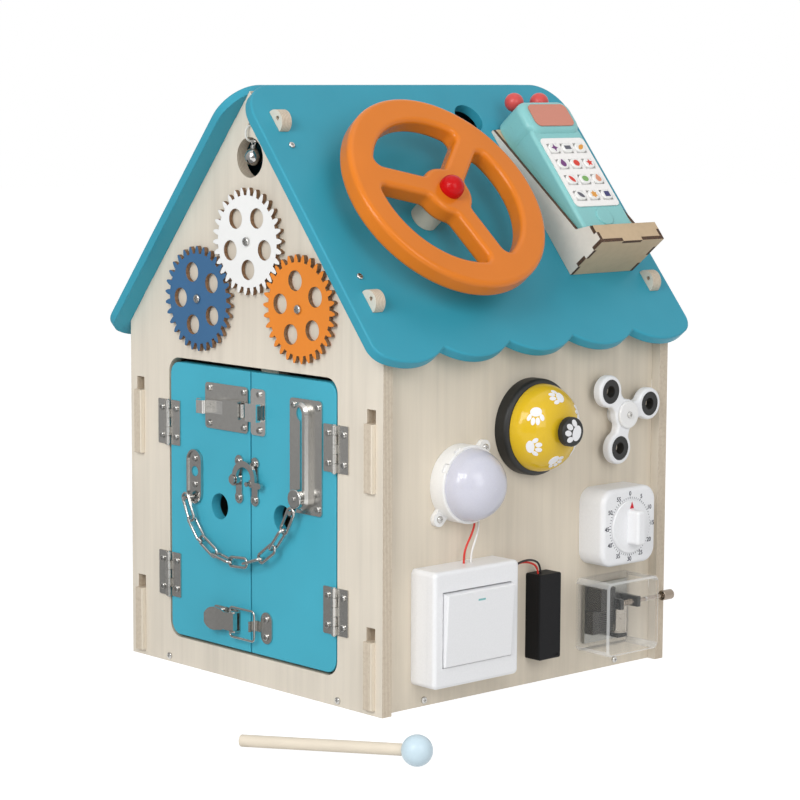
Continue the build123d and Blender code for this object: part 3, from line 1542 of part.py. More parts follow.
def make_rocker():
    half_x = rocker_width / 2
    half_y = rocker_height / 2
    face = cover_high + rocker_proud - rocker_pivot_height
    pad = block(-half_x, half_x, -half_y, half_y, face - rocker_thick, face)
    pad = round_top(pad, rocker_edge)
    pin_reach = half_x + rocker_gap + rocker_pin_hold
    pin = rod_along_x(0, 0, rocker_pin, -pin_reach, pin_reach)
    return switch_spot * Pos(0, 0, rocker_pivot_height) * Rot(rocker_tilt, 0, 0) * (pad + pin)


nodes["switch_case"] = group(make_switch_case())
nodes["switch_rocker"] = make_rocker()

# Battery box: tray, cover and two cells
battery_spot = right_face.location * Pos(battery_across, battery_height, seat_gap)
battery_wire_in = battery_thick - battery_cover_thick - battery_wire_deep


def make_battery_box():
    half_x = battery_width / 2
    half_y = battery_length / 2
    tray_high = battery_thick - battery_cover_thick
    tray = sheet(RectangleRounded(battery_width, battery_length, battery_corner), 0, tray_high)
    in_x = half_x - battery_wall
    in_y = half_y - battery_wall
    hollow = block(-in_x, in_x, -in_y, in_y, battery_wall, tray_high + 1)
    tray = tray - hollow
    for x in battery_wire_across:
        tray = tray - rod_along_y(x, battery_wire_in, wire_hole, in_y - battery_wall, battery_length)
    cover = RectangleRounded(battery_width, battery_length, battery_corner)
    cover = round_top(sheet(cover, tray_high + seat_gap, battery_thick), battery_wall)
    cover = cover - block(half_x - 9, half_x - 3, -half_y + 2, -half_y + 4, battery_thick - 0.5,
                          battery_thick + 1)
    hollow_top = block(-in_x, in_x, -in_y, in_y, tray_high, battery_thick - battery_wall)
    cell_low = battery_cell_gap - half_y
    cells = [
        rod_along_y(side * (battery_cell_radius + seat_gap), battery_wall + battery_cell_radius + seat_gap,
                    battery_cell_radius, cell_low, cell_low + battery_cell_length)
        for side in (1, -1)
    ]
    return [battery_spot * piece for piece in [tray, cover - hollow_top] + cells]


nodes["battery_box"] = group(make_battery_box())

# Wires, in house coordinates: lamp to switch, and switch to battery box
wall_x = wall_outer + seat_gap
switch_top = switch_height + switch_half
battery_top = battery_height + battery_length / 2
red_in = switch_across + lamp_wire_across[0]
white_in = switch_across + lamp_wire_across[1]
red_route = [
    (wall_x + 6.5, lamp_across + 8.5, lamp_height - 23.0),
    (wall_x + 7.5, lamp_across + 10.0, lamp_height - 29.0),
    (wall_x + 8.6, red_in + 8.9, switch_top + 21.5),
    (wall_x + 9.2, red_in + 2.4, switch_top + 13.0),
    (wall_x + lamp_wire_out, red_in, switch_top + 6.0),
    (wall_x + lamp_wire_out, red_in, switch_top - 3.0),
]
white_route = [
    (wall_x + 6.5, lamp_across + 12.5, lamp_height - 22.5),
    (wall_x + 7.5, lamp_across + 13.8, lamp_height - 28.5),
    (wall_x + 8.8, white_in + 7.3, switch_top + 22.0),
    (wall_x + 9.4, white_in + 3.1, switch_top + 13.5),
    (wall_x + lamp_wire_out, white_in, switch_top + 5.5),
    (wall_x + lamp_wire_out, white_in, switch_top - 3.0),
]
wire_rise = battery_wire_rise + switch_height
wire_start = switch_across + switch_half + 6.0
red_across = battery_across + battery_wire_across[0]
black_across = battery_across + battery_wire_across[1]
red_reach = red_across - wire_start
black_reach = black_across - wire_start
battery_route_red = [
    (wall_x + battery_wire_out[0], wire_start - 9.5, wire_rise),
    (wall_x + battery_wire_out[0], wire_start, wire_rise + 0.4),
    (wall_x + 7.6, wire_start + 0.355 * red_reach, wire_rise + 3.0),
    (wall_x + 7.4, wire_start + 0.71 * red_reach, wire_rise + 2.2),
    (wall_x + battery_wire_in, red_across, wire_rise - 2.6),
    (wall_x + battery_wire_in, red_across, battery_top - 2.0),
]
battery_route_black = [
    (wall_x + battery_wire_out[1], wire_start - 9.5, wire_rise),
    (wall_x + battery_wire_out[1], wire_start, wire_rise + 0.6),
    (wall_x + 10.0, wire_start + 0.342 * black_reach, wire_rise + 4.6),
    (wall_x + 9.6, wire_start + 0.7 * black_reach, wire_rise + 4.2),
    (wall_x + battery_wire_in, black_across, wire_rise - 1.0),
    (wall_x + battery_wire_in, black_across, battery_top - 2.0),
]
nodes["wires"] = group([
    cord("lamp_wire_red", red_route, wire_radius),
    cord("lamp_wire_white", white_route, wire_radius),
    cord("battery_wire_red", battery_route_red, wire_radius),
    cord("battery_wire_black", battery_route_black, wire_radius),
])

# Kitchen timer: body, and the dial with its bar knob
timer_spot = right_face.location * Pos(timer_across, timer_height, seat_gap)


def make_timer_body():
    body = sheet(RectangleRounded(timer_size, timer_size, timer_corner), 0, timer_thick)
    body = round_top(body, timer_edge)
    return body - disc(0, 0, timer_spindle + run_gap, timer_thick - timer_spindle_deep - 1, timer_thick + 1)


def make_timer_knob():
    low = timer_thick + clear_gap
    dial = disc(0, 0, timer_dial_radius, low, low + timer_dial_thick)
    dial = round_top(dial, 0.6)
    half_x = timer_knob_width / 2
    half_y = timer_knob_length / 2
    bar = block(-half_x, half_x, -half_y, half_y, low + timer_dial_thick - root_overlap,
                low + timer_dial_thick + timer_knob_height)
    bar = fillet(bar.edges().filter_by(Axis.Z), timer_knob_corner)
    bar = round_top(bar, timer_knob_edge)
    spindle = disc(0, 0, timer_spindle, timer_thick - timer_spindle_deep, low + root_overlap)
    return dial + bar + spindle


nodes["timer_body"] = timer_spot * make_timer_body()
nodes["timer_knob"] = timer_spot * make_timer_knob()

# Music box: clear case on its base plate, movement, drum and crank
music_spot = right_face.location * Pos(0, 0, seat_gap)
music_left = music_across - music_size / 2
music_right = music_across + music_size / 2
music_low = music_height - music_size / 2
music_high = music_height + music_size / 2
music_drum_across = music_across + music_drum_shift
music_drum_low = music_low + music_drum_rise
music_shaft_height = music_drum_low + music_drum_length + music_shaft_gap
music_crank_reach = music_right + music_crank_out
bed_high = music_wall + seat_gap + music_bed_thick
shaft_out = music_drum_out + music_gear_radius + music_worm_radius


def make_music_case():
    outline = Pos(music_across, music_height) * RectangleRounded(music_size, music_size, music_corner)
    base = sheet(outline, 0, music_wall)
    case = round_top(sheet(outline, music_wall + seat_gap, music_thick), music_edge)
    case = case - block(music_left + music_wall, music_right - music_wall, music_low + music_wall,
                        music_high - music_wall, 0, music_thick - music_wall)
    case = case - rod_along_x(music_shaft_height, shaft_out, music_shaft + slide_gap, music_right - 5,
                              music_right + 5)
    return [music_spot * base, music_spot * case]


def make_music_movement():
    inner_left = music_left + music_wall + music_bed_in
    inner_right = music_right - music_wall - music_bed_in
    low = music_wall + seat_gap
    bed = block(inner_left, inner_right, music_low + music_bed_end, music_high - music_bed_end, low, bed_high)
    for x in (music_drum_across - music_lug_across, music_drum_across + music_lug_across):
        lug = block(x - music_lug_half, x + music_lug_half, music_shaft_height - music_lug_reach,
                    music_shaft_height + music_lug_reach, bed_high - root_overlap,
                    shaft_out + music_lug_reach)
        bed = bed + lug
    bed = bed + block(music_drum_across - 5, music_drum_across + 5, music_drum_low - 4, music_drum_low - 1,
                      bed_high - root_overlap, music_drum_out + 4)
    bed = bed - rod_along_x(music_shaft_height, shaft_out, music_shaft + run_gap, inner_left, inner_right)
    bed = bed - rod_along_y(music_drum_across, music_drum_out, music_shaft + run_gap, music_drum_low - 8,
                            music_drum_low)
    tip = music_drum_across - music_drum_radius - 1.2
    root = inner_left + 1
    comb_low = music_drum_low + 1
    comb_high = music_drum_low + music_drum_length - 3
    comb_half = music_comb_thick / 2
    slit_half = music_comb_slit / 2
    comb = block(root, tip, comb_low, comb_high, music_drum_out - comb_half, music_drum_out + comb_half)
    step = (comb_high - comb_low) / music_comb_teeth
    slits = [
        block(root + music_comb_root, tip + 1, comb_low + step * i - slit_half,
              comb_low + step * i + slit_half, 0, music_thick)
        for i in range(1, music_comb_teeth)
    ]
    block_under = block(root, root + music_comb_root, comb_low, comb_high, bed_high + seat_gap,
                        music_drum_out - comb_half - seat_gap)
    governor = block(inner_left + 2, music_drum_across - 13, music_shaft_height - 4, music_high - 7,
                     bed_high + seat_gap, shaft_out)
    return [music_spot * piece for piece in (bed, comb - slits, block_under, governor)]


def make_music_drum():
    high = music_drum_low + music_drum_length
    x, out = music_drum_across, music_drum_out
    drum = rod_along_y(x, out, music_drum_radius, music_drum_low, high)
    collar = rod_along_y(x, out, music_drum_radius + 0.6, music_drum_low, music_drum_low + 0.8)
    gear = rod_along_y(x, out, music_gear_radius - clear_gap, high, music_shaft_height + 1.5)
    axle = rod_along_y(x, out, music_shaft, music_drum_low - 4.0, music_drum_low + 1)
    pins = []
    for i in range(music_pin_rows):
        turn = radians(i * 137.5)
        z = music_drum_low + 2 + (music_drum_length - 6) * i / music_pin_rows
        pin = Pos(x + music_drum_radius * sin(turn), z, out + music_drum_radius * cos(turn)) * Sphere(0.5)
        pins.append(pin)
    return music_spot * (drum + collar + gear + axle + pins)


def make_music_crank():
    left = music_drum_across - 12
    shaft = rod_along_x(music_shaft_height, shaft_out, music_shaft, left, music_crank_reach - 2)
    worm = rod_along_x(music_shaft_height, shaft_out, music_worm_radius - clear_gap, music_drum_across - 6,
                       music_drum_across + 6)
    tip = rod_along_x(music_shaft_height, shaft_out, music_tip_radius, music_crank_reach - music_tip_length,
                      music_crank_reach)
    tip = fillet(tip.edges(), 0.8)
    return music_spot * (shaft + worm + tip)


nodes["music_case"] = group(make_music_case())
nodes["music_movement"] = group(make_music_movement())
nodes["music_drum"] = make_music_drum()
nodes["music_crank"] = make_music_crank()

# Spinner: three lobes with weight rings, turning on a post
spinner_spot = right_face.location * Pos(spinner_across, spinner_height, 0)


def make_spinner():
    outline = Circle(spinner_cap + 1.5)
    spots = []
    for i in range(spinner_lobes):
        angle = spinner_phase + 360 * i / spinner_lobes
        x = spinner_arm * cos(radians(angle))
        y = spinner_arm * sin(radians(angle))
        spots.append((x, y))
        arm = Pos(spinner_arm / 2, 0) * Rectangle(spinner_arm, 2 * spinner_waist)
        outline = outline + Rot(0, 0, angle) * arm + Pos(x, y) * Circle(spinner_lobe)
    creases = [v for v in outline.vertices() if sqrt(v.X ** 2 + v.Y ** 2) < spinner_arm]
    outline = fillet(creases, spinner_crease)
    high = spinner_lift + spinner_thick
    body = sheet(outline, spinner_lift, high)
    faces = body.faces().sort_by(Axis.Z)
    body = fillet(faces[-1].edges() + faces[0].edges(), spinner_edge)
    body = body - disc(0, 0, spinner_post + run_gap, 0, high + 1)
    body = body - [disc(x, y, spinner_ring + run_gap, 0, high + 1) for x, y in spots]
    rings = []
    for x, y in spots:
        ring = disc(x, y, spinner_ring, spinner_lift + spinner_ring_sunk, high - spinner_ring_sunk)
        rings.append(ring - disc(x, y, spinner_ring_hole, 0, high + 1))
    return [spinner_spot * piece for piece in [body] + rings]


def make_spinner_post():
    high = spinner_lift + spinner_thick
    foot = disc(0, 0, spinner_post + 3, seat_gap, spinner_lift - clear_gap)
    post = disc(0, 0, spinner_post, seat_gap, high + clear_gap + 0.5)
    cap = round_top(disc(0, 0, spinner_cap, high + clear_gap, spinner_top), 0.8)
    return drill(spinner_spot * (foot + post + cap), spinner_screw_spots, spinner_screw_length)


nodes["spinner_body"] = group(make_spinner())
nodes["spinner_post"] = make_spinner_post()


# Mallet lying on the floor in front: ball head and wooden stick
def make_mallet():
    head = Vector(mallet_head_right, -mallet_head_front, mallet_head)
    end = Vector(mallet_end_right, -mallet_end_front, mallet_stick + mallet_rest)
    along = (head - end).normalized()
    bore = head - along * (mallet_head * 0.5)
    ball = Pos(head) * Sphere(mallet_head)
    length = (bore - end).length
    stick_plane = Plane(origin=end, z_dir=along)
    stick = stick_plane * disc(0, 0, mallet_stick, 0, length)
    stick = fillet(stick.edges(), 0.8)
    socket = stick_plane * disc(0, 0, mallet_stick + run_gap, 0, length + run_gap)
    foot = block(head.X - mallet_head, head.X + mallet_head, head.Y - mallet_head, head.Y + mallet_head,
                 -mallet_head, mallet_flat)
    return [ball - socket - foot, stick]


nodes["mallet"] = group(make_mallet())

for name, shape in nodes.items():
    export_step(shape, f"parts/{name}.step")
print(len(nodes), "nodes")
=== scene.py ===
# %% [markdown]
# # Activity house
# This notebook dresses a wooden activity house that was drawn in CAD. The CAD nodes are already
# in place, so Blender only adds what CAD leaves plain: the look of each material, the printed
# details, the wires and the loose chain. It starts by loading the frame, because every later step
# reads places from it.

# %% Load the frame
import math

import bmesh
import bpy
from mathutils import Matrix, Vector


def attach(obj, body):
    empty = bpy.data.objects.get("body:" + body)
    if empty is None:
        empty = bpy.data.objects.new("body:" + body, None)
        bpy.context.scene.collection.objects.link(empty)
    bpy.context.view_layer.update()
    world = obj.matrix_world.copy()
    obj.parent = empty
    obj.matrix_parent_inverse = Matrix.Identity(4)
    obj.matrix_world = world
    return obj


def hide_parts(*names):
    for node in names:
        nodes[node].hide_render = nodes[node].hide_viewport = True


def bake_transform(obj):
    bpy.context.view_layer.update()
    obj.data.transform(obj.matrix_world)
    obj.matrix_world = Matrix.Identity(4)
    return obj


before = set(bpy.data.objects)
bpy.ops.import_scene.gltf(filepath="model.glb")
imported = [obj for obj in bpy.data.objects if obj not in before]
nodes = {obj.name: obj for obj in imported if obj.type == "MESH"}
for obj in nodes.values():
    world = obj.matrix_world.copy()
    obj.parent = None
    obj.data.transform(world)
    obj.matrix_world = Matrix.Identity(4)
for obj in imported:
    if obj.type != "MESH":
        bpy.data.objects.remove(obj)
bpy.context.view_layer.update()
print("nodes", len(nodes))

# %% [markdown]
# ## Places on the house
# The gadgets sit on flat faces, such as the right wall and the right roof slope. A small function
# for each of these two turns a drawing position in millimetres into a point in metres. This keeps
# the numbers below as easy to read as a drawing.

# %% Places
HALF_WIDTH, WALL_TOP = 148, 265
WALL = 140.1
PITCH = math.radians(50.7)
APEX = WALL_TOP + HALF_WIDTH * math.tan(PITCH)
DOWN = Vector((math.cos(PITCH), 0, -math.sin(PITCH)))
NORMAL = Vector((math.sin(PITCH), 0, math.cos(PITCH)))


def on_wall(y, z, out):
    """A point on the right wall: out is the distance from its face."""
    return Vector((WALL + out, y, z)) / 1000


def on_roof(along, y, out):
    """A point on the right slope: along is down from the ridge, out is above the underside."""
    return (Vector((0, y, APEX)) + DOWN * along + NORMAL * out) / 1000


print("ridge at", round(APEX, 1), "mm")

# %% [markdown]
# ## Camera
# The photograph was taken with a long lens from the front right corner, slightly above the middle
# of the house. The camera matrix is built from its direction, so that the small roll of the
# photograph can be kept. A long lens keeps the edges of the house nearly parallel.

# %% Camera
AZIMUTH, ELEVATION, ROLL = (math.radians(a) for a in (47.41, 7.12, 0.27))
level = Vector((math.cos(AZIMUTH), math.sin(AZIMUTH), 0))
ahead = Vector((-math.sin(AZIMUTH), math.cos(AZIMUTH), 0))
forward = ahead * math.cos(ELEVATION) - Vector((0, 0, math.sin(ELEVATION)))
upward = level.cross(forward)
right = level * math.cos(ROLL) + upward * math.sin(ROLL)
top = upward * math.cos(ROLL) - level * math.sin(ROLL)
eye = Vector((1.52334, -1.39833, 0.46238))

camera_data = bpy.data.cameras.new("camera")
camera_data.sensor_width = 36
camera_data.lens = 119.2
camera_data.clip_start = 0.05
camera = bpy.data.objects.new("camera", camera_data)
camera.matrix_world = Matrix((right, top, -forward)).transposed().to_4x4()
camera.location = eye
bpy.context.scene.collection.objects.link(camera)
scene = bpy.context.scene
scene.camera = camera
scene.view_settings.view_transform = "Standard"
print("camera", tuple(round(c, 3) for c in camera.location))

# %% [markdown]
# ## Lamps
# Product photographs use large soft lamps, so the shadows are faint. The key lamp stands left of
# the camera and lights the front more than the gadget wall, the fill stands to the right, and a
# weak lamp above lifts the ridge. Area lamps are used because their size sets how soft a shadow
# is.


# %% Lamps
def area_light(name, place, aim, size, power):
    data = bpy.data.lights.new(name, "AREA")
    data.shape = "RECTANGLE"
    data.size, data.size_y = size
    data.energy = power
    lamp = bpy.data.objects.new(name, data)
    lamp.location = place
    lamp.rotation_euler = (Vector(aim) - Vector(place)).to_track_quat("-Z", "Y").to_euler()
    scene.collection.objects.link(lamp)


area_light("key", (0.8, -2.3, 1.4), (0, 0, 0.2), (1.3, 1.3), 38)
area_light("fill", (2.2, -0.6, 1.1), (0, 0, 0.2), (1.2, 1.6), 16)
area_light("top", (0.3, 0.2, 2.4), (0, 0, 0.2), (1.6, 1.6), 4)
print("three lamps")

# %% [markdown]
# ## White surroundings
# The background is white although the light stays plain. The Light Path node tells rays that
# look, from the camera or from a mirror, apart from rays that carry light. The world shows white
# to the first and lights with less. The floor mixes a white glow with an ordinary pale surface,
# so that it keeps a faint shadow.


# %% World and floor
def looking(tree):
    """1 for rays from the camera, a shiny surface or glass, and 0 for rays that carry light."""
    path = tree.nodes.new("ShaderNodeLightPath")
    seen = path.outputs["Is Camera Ray"]
    for name in ("Is Glossy Ray", "Is Transmission Ray"):
        larger = tree.nodes.new("ShaderNodeMath")
        larger.operation = "MAXIMUM"
        tree.links.new(seen, larger.inputs[0])
        tree.links.new(path.outputs[name], larger.inputs[1])
        seen = larger.outputs[0]
    return seen


world = bpy.data.worlds.new("studio")
scene.world = world
world.use_nodes = True
tree = world.node_tree
backdrop = tree.nodes["Background"]
backdrop.inputs["Color"].default_value = (1, 1, 1, 1)
strength = tree.nodes.new("ShaderNodeMapRange")
strength.inputs["To Min"].default_value = 0.4
strength.inputs["To Max"].default_value = 1
tree.links.new(looking(tree), strength.inputs["Value"])
tree.links.new(strength.outputs["Result"], backdrop.inputs["Strength"])


def stage_plane(name, size, matrix):
    bm = bmesh.new()
    bmesh.ops.create_grid(bm, x_segments=1, y_segments=1, size=1)
    bmesh.ops.scale(bm, verts=bm.verts, vec=(size[0] / 2, size[1] / 2, 1))
    bmesh.ops.transform(bm, verts=bm.verts, matrix=matrix)
    mesh = bpy.data.meshes.new(name)
    bm.to_mesh(mesh)
    bm.free()
    made = bpy.data.objects.new(name, mesh)
    scene.collection.objects.link(made)
    material = bpy.data.materials.new(name)
    material.use_nodes = True
    mesh.materials.append(material)
    return made, material.node_tree


tree = stage_plane("floor", (14, 14), Matrix())[1]
surface = tree.nodes["Principled BSDF"]
surface.inputs["Base Color"].default_value = (0.3, 0.3, 0.3, 1)
surface.inputs["Roughness"].default_value = 1
surface.inputs["Specular IOR Level"].default_value = 0
surface.inputs["Emission Color"].default_value = (1, 1, 1, 1)
glow = tree.nodes.new("ShaderNodeMapRange")
glow.inputs["To Min"].default_value = 0.4
glow.inputs["To Max"].default_value = 0.89
tree.links.new(looking(tree), glow.inputs["Value"])
tree.links.new(glow.outputs["Result"], surface.inputs["Emission Strength"])
print("world and floor")

# %% [markdown]
# ## Grey cards for the metal
# Polished metal shows its surroundings, and in an all-white room it would look like white paint.
# A photographer holds up grey cards. One stands at the front left, where the flat plates on the
# doors look, one lies before the doors and one stands below the camera. Only shiny surfaces can
# see them, and those that stand are darker at the foot, so that the plates have a soft gradient.
# A small bright card before the key lamp gives the domes and round edges their highlight.


# %% Grey cards
CARD_TOP = 0.9


def grey_card(name, size, place, facing, low, high):
    """A card that shines with the strength low at the floor and high at the card's top."""
    facing = Vector(facing).normalized()
    flat = abs(facing.z) > 0.9
    across = Vector((1, 0, 0)) if flat else Vector((0, 0, 1)).cross(facing).normalized()
    turn = Matrix((across, facing.cross(across), facing)).transposed().to_4x4()
    card, tree = stage_plane(name, size, Matrix.Translation(place) @ turn)
    for kind in ("camera", "diffuse", "transmission", "shadow", "volume_scatter"):
        setattr(card, "visible_" + kind, False)
    height = tree.nodes.new("ShaderNodeSeparateXYZ")
    coordinates = tree.nodes.new("ShaderNodeTexCoord")
    tree.links.new(coordinates.outputs["Object"], height.inputs["Vector"])
    shade = tree.nodes.new("ShaderNodeMapRange")
    shade.inputs["From Max"].default_value = CARD_TOP
    shade.inputs["To Min"].default_value = low
    shade.inputs["To Max"].default_value = high
    tree.links.new(height.outputs["Z"], shade.inputs["Value"])
    surface = tree.nodes["Principled BSDF"]
    surface.inputs["Base Color"].default_value = (0, 0, 0, 1)
    surface.inputs["Specular IOR Level"].default_value = 0
    surface.inputs["Emission Color"].default_value = (1, 1, 1, 1)
    tree.links.new(shade.outputs["Result"], surface.inputs["Emission Strength"])


grey_card("left_card", (1.0, 0.9), (-0.34, -0.4, 0.45), (0.73, 0.67, 0), 0.3, 0.72)
grey_card("floor_card", (0.9, 0.55), (-0.3, -0.44, 0.001), (0, 0, 1), 0.28, 0.28)
grey_card("camera_card", (1.1, 0.8), (0.9, -1.0, 0.4), (-0.65, 0.75, 0), 0.2, 0.5)
grey_card("bright_card", (0.34, 0.22), (0.82, -2.2, 1.36), (-0.3, 0.84, -0.45), 9, 9)
print("four cards")

# %% [markdown]
# ## Building blocks for materials
# Each material is a short chain of nodes: a texture in object space, a ramp that turns it into a
# colour, and a bump that roughens the surface. A few helper functions make these chains quick to
# write. Object space is used because the texture then stays on the piece when a door opens.


# %% Material helpers
def start(name):
    """A new material, its node tree and its main shader."""
    material = bpy.data.materials.new(name)
    material.use_nodes = True
    return material, material.node_tree, material.node_tree.nodes["Principled BSDF"]


def node(tree, kind, links=None, **values):
    """Adds a node. The values set its options or sockets, and the links feed its inputs."""
    made = tree.nodes.new(kind)
    for key, value in values.items():
        if hasattr(made, key):
            setattr(made, key, value)
        else:
            made.inputs[key.replace("_", " ").title()].default_value = value
    for key, source in (links or {}).items():
        tree.links.new(source, made.inputs[key])
    return made


def object_space(tree, scale=(1, 1, 1)):
    """Texture coordinates that stay on the piece: a larger scale draws finer detail."""
    place = node(tree, "ShaderNodeTexCoord")
    mapping = node(tree, "ShaderNodeMapping", {"Vector": place.outputs["Object"]})
    mapping.inputs["Scale"].default_value = scale
    return mapping.outputs["Vector"]


def noise(tree, vector, scale, detail=4, roughness=0.55):
    made = node(tree, "ShaderNodeTexNoise", {"Vector": vector}, scale=scale, detail=detail,
                roughness=roughness)
    return made.outputs["Fac"]


def ramp(tree, factor, *stops):
    """Turns a value into a colour through stops of position and colour."""
    made = node(tree, "ShaderNodeValToRGB", {"Fac": factor})
    while len(made.color_ramp.elements) < len(stops):
        made.color_ramp.elements.new(0.5)
    for element, (position, colour) in zip(made.color_ramp.elements, stops):
        element.position = position
        element.color = (*colour, 1)
    return made.outputs["Color"]


def bump(tree, shader, height, strength, distance, edge=0.0):
    """Roughens the surface by a height. An edge radius also makes sharp edges look rounded."""
    made = node(tree, "ShaderNodeBump", {"Height": height}, strength=strength, distance=distance)
    if edge:
        rounded = node(tree, "ShaderNodeBevel", samples=4, radius=edge)
        tree.links.new(rounded.outputs["Normal"], made.inputs["Normal"])
    tree.links.new(made.outputs["Normal"], shader.inputs["Normal"])


def scaled(colour, factor):
    return tuple(min(1, c * factor) for c in colour)


def varied(tree, factor, colour, variation):
    """The colour, a little darker and lighter from place to place."""
    return ramp(tree, factor, (0.3, scaled(colour, 1 - variation)),
                (0.7, scaled(colour, 1 + variation)))


print("helpers ready")

# %% [markdown]
# ## Wood
# Birch plywood has a pale face with fine streaks along the grain. Noise stretched along the grain
# gives the streaks. The cut edge shows the layers, and a laser leaves it brown on the thin
# plates, so edges have materials of their own.


# %% Wood materials
WOOD_EDGE = 0.0006
LAYER_PALE, LAYER_DARK, LAYER_PITCH = (0.7, 0.62, 0.5), (0.5, 0.41, 0.31), 0.0022


def wood(name, colour, grain=(55, 55, 2.2), contrast=0.1):
    material, tree, shader = start(name)
    streaks = noise(tree, object_space(tree, grain), 2.4, 6, 0.6)
    cloud = noise(tree, object_space(tree, (9, 9, 5)), 1.5, 2)
    both = node(tree, "ShaderNodeMath", {0: streaks, 1: cloud}, operation="ADD").outputs[0]
    half = node(tree, "ShaderNodeMath", {0: both}, operation="MULTIPLY")
    half.inputs[1].default_value = 0.5
    tint = ramp(tree, half.outputs[0], (0.34, scaled(colour, 1 - contrast)), (0.5, colour),
                (0.68, scaled(colour, 1 + contrast)))
    tree.links.new(tint, shader.inputs["Base Color"])
    shader.inputs["Roughness"].default_value = 0.55
    shader.inputs["Specular IOR Level"].default_value = 0.3
    bump(tree, shader, streaks, 0.12, 0.0003, WOOD_EDGE)
    return material


def layered_edge(name, axis):
    """A cut edge of plywood whose layers lie across the given axis."""
    material, tree, shader = start(name)
    scale = [0.0, 0.0, 0.0]
    scale["XYZ".index(axis)] = 1 / LAYER_PITCH
    bands = node(tree, "ShaderNodeTexWave", {"Vector": object_space(tree, tuple(scale))},
                 bands_direction=axis, scale=0.5)
    grain = noise(tree, object_space(tree, (140, 140, 140)), 3)
    product = node(tree, "ShaderNodeMath", {0: bands.outputs["Fac"], 1: grain},
                   operation="MULTIPLY")
    both = product.outputs[0]
    tint = ramp(tree, both, (0.1, LAYER_DARK), (0.45, LAYER_PALE), (0.8, scaled(LAYER_PALE, 1.08)))
    tree.links.new(tint, shader.inputs["Base Color"])
    shader.inputs["Roughness"].default_value = 0.75
    bump(tree, shader, both, 0.2, 0.0003)
    return material


def burnt_edge(name, dark, pale):
    material, tree, shader = start(name)
    char = noise(tree, object_space(tree, (200, 200, 200)), 2.5, 4)
    tint = ramp(tree, char, (0.3, dark), (0.75, pale))
    tree.links.new(tint, shader.inputs["Base Color"])
    shader.inputs["Roughness"].default_value = 0.8
    bump(tree, shader, char, 0.2, 0.0003)
    return material


birch = wood("birch", (0.72, 0.655, 0.555))
# Painted shade: the walls get a slightly darker, yellower copy of the birch.
birch_wall_painted_shade = wood("birch_wall_painted_shade", (0.72, 0.645, 0.53))
birch_plate = wood("birch_plate", (0.56, 0.42, 0.27), (60, 60, 60), 0.08)
# Painted light: a paler birch for the holder's front side, to lift it out of the wheel's shadow
birch_painted_light_side = wood("birch_painted_light_side", (0.76, 0.69, 0.61), (60, 60, 60), 0.06)
beech = wood("beech", (0.73, 0.65, 0.53), (18, 18, 60), 0.06)
edge_y = layered_edge("ply_edge_y", "Y")
edge_x = layered_edge("ply_edge_x", "X")
burnt = burnt_edge("burnt_edge", (0.03, 0.014, 0.008), (0.12, 0.06, 0.03))
scorched = burnt_edge("scorched_edge", (0.13, 0.065, 0.03), (0.33, 0.19, 0.1))
print("wood materials")

# %% [markdown]
# ## Paint
# The teal and orange parts are sprayed wood: an even colour with a soft sheen and a very faint
# grain below it. The grain is only in the bump and the sheen, so that the paint doesn't look like
# flat plastic.


# %% Paint materials
def paint(name, colour, rough=0.42, edge=0.0008, coat=0.0, variation=0.05, gloss=0.3):
    material, tree, shader = start(name)
    fibres = noise(tree, object_space(tree, (40, 40, 3)), 3, 5, 0.6)
    cloud = noise(tree, object_space(tree), 12, 2)
    tint = varied(tree, cloud, colour, variation)
    tree.links.new(tint, shader.inputs["Base Color"])
    sheen = node(tree, "ShaderNodeMapRange", {"Value": fibres})
    sheen.inputs["To Min"].default_value = rough - 0.05
    sheen.inputs["To Max"].default_value = rough + 0.07
    tree.links.new(sheen.outputs["Result"], shader.inputs["Roughness"])
    shader.inputs["Specular IOR Level"].default_value = gloss
    shader.inputs["Coat Weight"].default_value = coat
    shader.inputs["Coat Roughness"].default_value = 0.12
    bump(tree, shader, fibres, 0.05, 0.0003, edge)
    return material


teal = paint("teal_paint", (0.035, 0.315, 0.43))
teal_door = paint("teal_door", (0.056, 0.415, 0.55))
orange = paint("orange_paint", (0.71, 0.195, 0.014), 0.22, edge=0.0004, coat=0.08, gloss=0.2)
orange_gear = paint("orange_gear", (0.82, 0.25, 0.022), 0.5)
blue_gear = paint("blue_gear", (0.044, 0.14, 0.29), 0.5)
white_gear = paint("white_gear", (0.86, 0.86, 0.85), 0.5, variation=0.02)
red_ball = paint("red_ball", (0.56, 0.006, 0.008), 0.2, edge=0, coat=0.05, gloss=0.12)
pale_blue = paint("pale_blue", (0.57, 0.71, 0.79), 0.3, edge=0, coat=0.1)
print("paint materials")

# %% [markdown]
# ## Metal, plastic and the rest
# Metal looks real when its roughness is uneven, so a fine noise drives it. Plastics differ mainly
# in colour and gloss, so one function makes them all with a faint moulding texture. Clear plastic
# and the milky lamp let light through.


# %% Metal and plastic materials
def metal(name, colour, rough):
    material, tree, shader = start(name)
    fine = noise(tree, object_space(tree, (200, 200, 200)), 2, 2, 0.5)
    tint = varied(tree, fine, colour, 0.03)
    tree.links.new(tint, shader.inputs["Base Color"])
    spread = node(tree, "ShaderNodeMapRange", {"Value": fine})
    spread.inputs["To Min"].default_value = rough * 0.9
    spread.inputs["To Max"].default_value = rough * 1.1
    tree.links.new(spread.outputs["Result"], shader.inputs["Roughness"])
    shader.inputs["Metallic"].default_value = 1
    bump(tree, shader, fine, 0.006, 0.0002)
    return material


